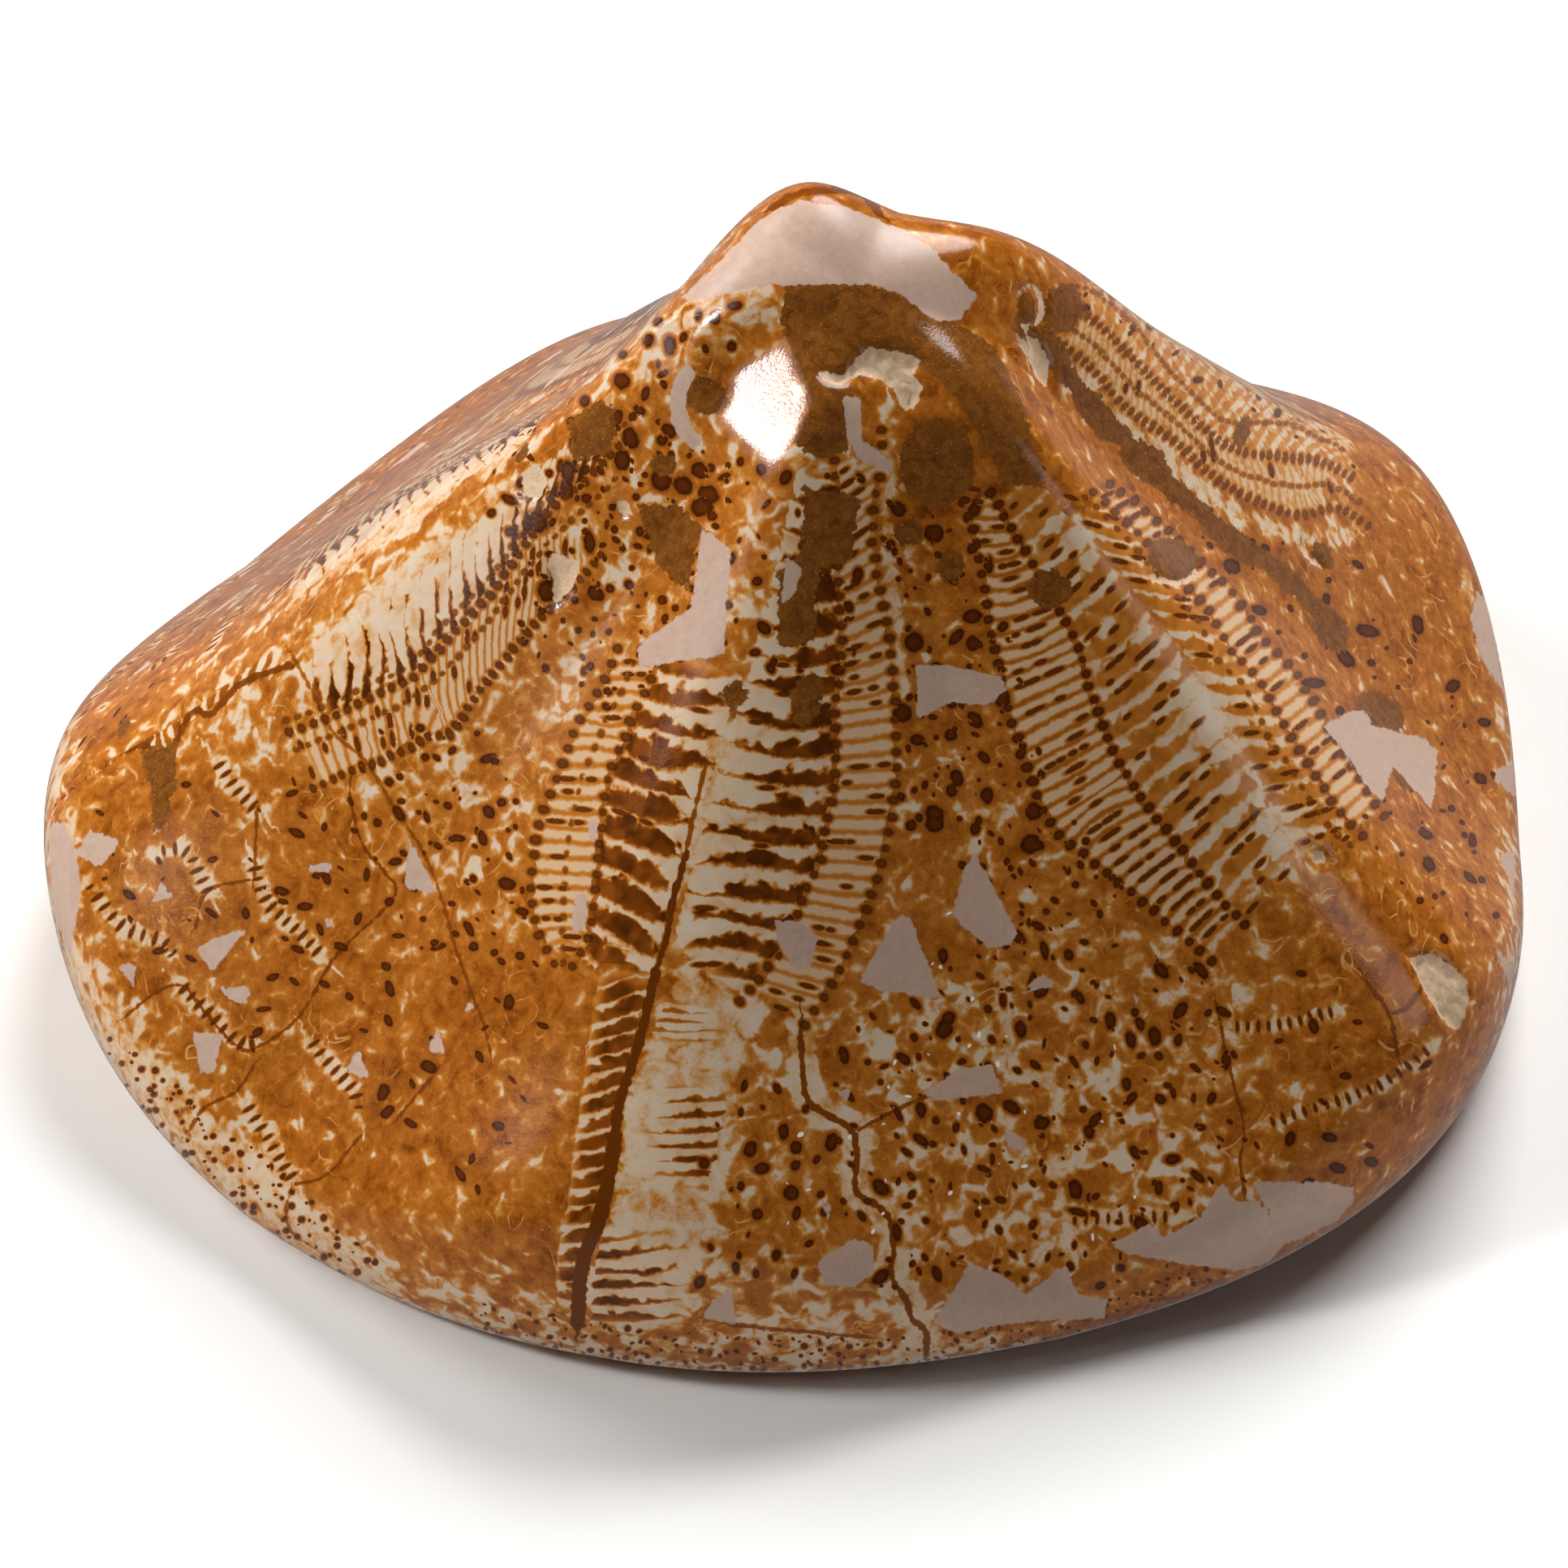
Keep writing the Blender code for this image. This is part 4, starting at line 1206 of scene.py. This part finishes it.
def fillings(tree, stone, fill, colour):
    """Mud, lilac filling and bare stone over the rest, in this order; the mud's edge wanders most.
    Gives the colour and the shares of the lilac and the bare stone."""
    mud = add(tree, RANGE, {"Value": stone.mottle, "From Min": 0.28, "From Max": 0.72})[0]
    mud = add(tree, MIX, {"Factor": mud, 6: "58310E", 7: "8A521C"}, **TINT)[2]
    speck = add(tree, RANGE, {"Value": stone.speck, "From Min": 0.62, "From Max": 0.72, "To Max": 0.35},
                **EASE)[0]
    mud = add(tree, MIX, {"Factor": speck, 6: mud, 7: "C89A62"}, **TINT)[2]
    lilac = add(tree, MIX, {"Factor": stone.mottle, 6: "AA8B78", 7: "C6AA98"}, **TINT)[2]
    bare = add(tree, MIX, {"Factor": stone.grain, 6: "B8926C", 7: "E0C6A6"}, **TINT)[2]
    lilac_depth, mud_depth, bare_depth = (stirred(tree, depth, (stone.stray, 0.7)) for depth in fill)
    mud_depth = stirred(tree, mud_depth, (stone.mottle, 1.4))
    mud_depth = add(tree, MATH, {0: mud_depth, 1: 0.7}, operation="SUBTRACT")[0]
    shares = []
    for depth, covering in ((mud_depth, mud), (lilac_depth, lilac), (bare_depth, bare)):
        share = add(tree, RANGE, {"Value": depth, "From Min": -0.06, "From Max": 0.07}, **EASE)[0]
        colour = add(tree, MIX, {"Factor": share, 6: colour, 7: covering}, **TINT)[2]
        shares.append(share)
    return colour, shares[1], shares[2]


def stone_material():
    """Fossil limestone and calcite, ground, polished and waxed: the skeleton's plates show as
    ochre calcite stained by iron, its pores as brown dots, and the sediment that filled the gaps
    as dull lilac. The polish gives clear reflections over all of it but the bare hollows. The colour
    also holds painted highlights: white patches where the right petal's crest has its sheen, and
    white glints on the chips of clear calcite."""
    material = bpy.data.materials.new("polished fossil limestone")
    material.use_nodes = True
    tree = material.node_tree
    tree.nodes.clear()
    stone, marks = stone_patterns(tree), laid_markings(tree)
    level = stain_level(tree, stone, marks)
    stain_and_sheen = veins_and_flecks(tree, stone, stain_islands(tree, stone, level))
    stain_and_sheen = petal_bars(tree, stone, marks.bars, level, stain_and_sheen)
    stain_and_sheen = pore_combs(tree, stone, marks.comb, stain_and_sheen)
    stain_and_sheen = dark_lines(tree, stone, marks.line, stain_and_sheen)
    radius = pore_radius(tree, stone, marks.spot)
    stain_and_sheen = pore_fringes(tree, marks.spot, radius, stain_and_sheen)
    colour = pores_and_chip_glints(tree, marks.spot, radius, stain_colour(tree, stain_and_sheen))
    colour, lilac, bare = fillings(tree, stone, marks.fill, colour)
    rough = add(tree, MATH, {0: stone.grain, 1: 0.10, 2: 0.08}, operation="MULTIPLY_ADD")[0]
    rough = stirred(tree, rough, (lilac, 0.20))
    rough = add(tree, MIX, {"Factor": bare, "A": rough, "B": 0.7})[0]
    bump = add(tree, "ShaderNodeBump", {"Strength": 0.06, "Distance": 0.2 * MM, "Height": stone.grain})[0]
    polish = add(tree, "ShaderNodeBsdfPrincipled", {"Base Color": colour, "Roughness": rough, "Normal": bump,
                                                    "IOR": 1.5, "Specular IOR Level": 0.26})[0]
    add(tree, "ShaderNodeOutputMaterial", {"Surface": polish}, is_active_output=True)
    return material


stone = build_stone()
stone.data.materials.append(stone_material())
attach(stone, "root")
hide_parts("sea_urchin")


# ---------------------------------------------------------------- floor, light and camera
FLOOR_HALF = 3.0
# Studio lamps, in metres and watts: place, height aimed at over the middle, width, height, power.
LAMPS = {
    "soft box behind": ((0.60, 1.37, 1.47), 0.03, 1.5, 1.5, 68.0),
    "soft box on the left": ((-0.80, -0.085, 0.66), 0.05, 0.18, 0.18, 4.8),
    "glow round the left box": ((-0.824, -0.088, 0.678), 0.05, 0.6, 0.6, 2.2),
    "soft box at the back left": ((-1.15, 0.75, 0.85), 0.03, 0.7, 0.7, 11.5),
    "dim strip on the right": ((0.86, -0.15, 0.3), 0.03, 0.25, 0.4, 0.5),
}
# Strength of the studio's own light: nearly dark above, and grey below, where only the polish sees it.
DARK_ABOVE = 0.022
GREY_BELOW = 0.30
HORIZON_BLUR = 0.06
SENSOR = 36.0           # millimetres


def place_in_scene(name, data):
    made = bpy.data.objects.new(name, data)
    bpy.context.scene.collection.objects.link(made)
    return made


def build_floor():
    """Matt white card under the stone. It is flagged off from the polish, which mirrors the lamps."""
    mesh = bpy.data.meshes.new("floor")
    corners = [(x * FLOOR_HALF, y * FLOOR_HALF, 0) for x, y in ((-1, -1), (1, -1), (1, 1), (-1, 1))]
    mesh.from_pydata(corners, [], [(0, 1, 2, 3)])
    floor = place_in_scene("floor", mesh)
    floor.visible_glossy = False
    material = bpy.data.materials.new("matt white card")
    material.use_nodes = True
    shader = material.node_tree.nodes["Principled BSDF"]
    shader.inputs["Base Color"].default_value = linear("EEEDEB")
    shader.inputs["Roughness"].default_value = 0.9
    mesh.materials.append(material)


def hang_lamps():
    for name, (at, aim, width, height, power) in LAMPS.items():
        data = bpy.data.lights.new(name, "AREA")
        data.shape = "ELLIPSE"
        data.size, data.size_y = width, height
        data.energy = power
        lamp = place_in_scene(name, data)
        lamp.location = at
        lamp.rotation_euler = (Vector((0, 0, aim)) - Vector(at)).to_track_quat("-Z", "Y").to_euler()


def surround_studio():
    world = bpy.data.worlds.new("studio")
    bpy.context.scene.world = world
    world.use_nodes = True
    tree = world.node_tree
    height = add(tree, "ShaderNodeSeparateXYZ", {0: add(tree, "ShaderNodeTexCoord")["Generated"]})[2]
    strength = add(tree, RANGE, {"Value": height, "From Min": -HORIZON_BLUR, "From Max": HORIZON_BLUR,
                                 "To Min": GREY_BELOW, "To Max": DARK_ABOVE})[0]
    studio = tree.nodes["Background"]
    studio.inputs["Color"].default_value = linear("F4F6FA")
    tree.links.new(strength, studio.inputs["Strength"])


def set_camera():
    """The camera looks at the stone as the drawing does."""
    data = bpy.data.cameras.new("camera")
    data.sensor_width = SENSOR
    data.lens = SENSOR * SIGHT_FOCUS / SHEET
    data.clip_end = 20
    camera = place_in_scene("camera", data)
    back, up, eye = sight_axes()
    right = np.array([1.0, 0.0, 0.0])
    rows = [(*axis, place * MM) for *axis, place in zip(right, up, back, eye)]
    camera.matrix_world = Matrix((*rows, (0, 0, 0, 1)))
    bpy.context.scene.camera = camera


build_floor()
hang_lamps()
surround_studio()
set_camera()
bpy.context.scene.view_settings.view_transform = "Standard"
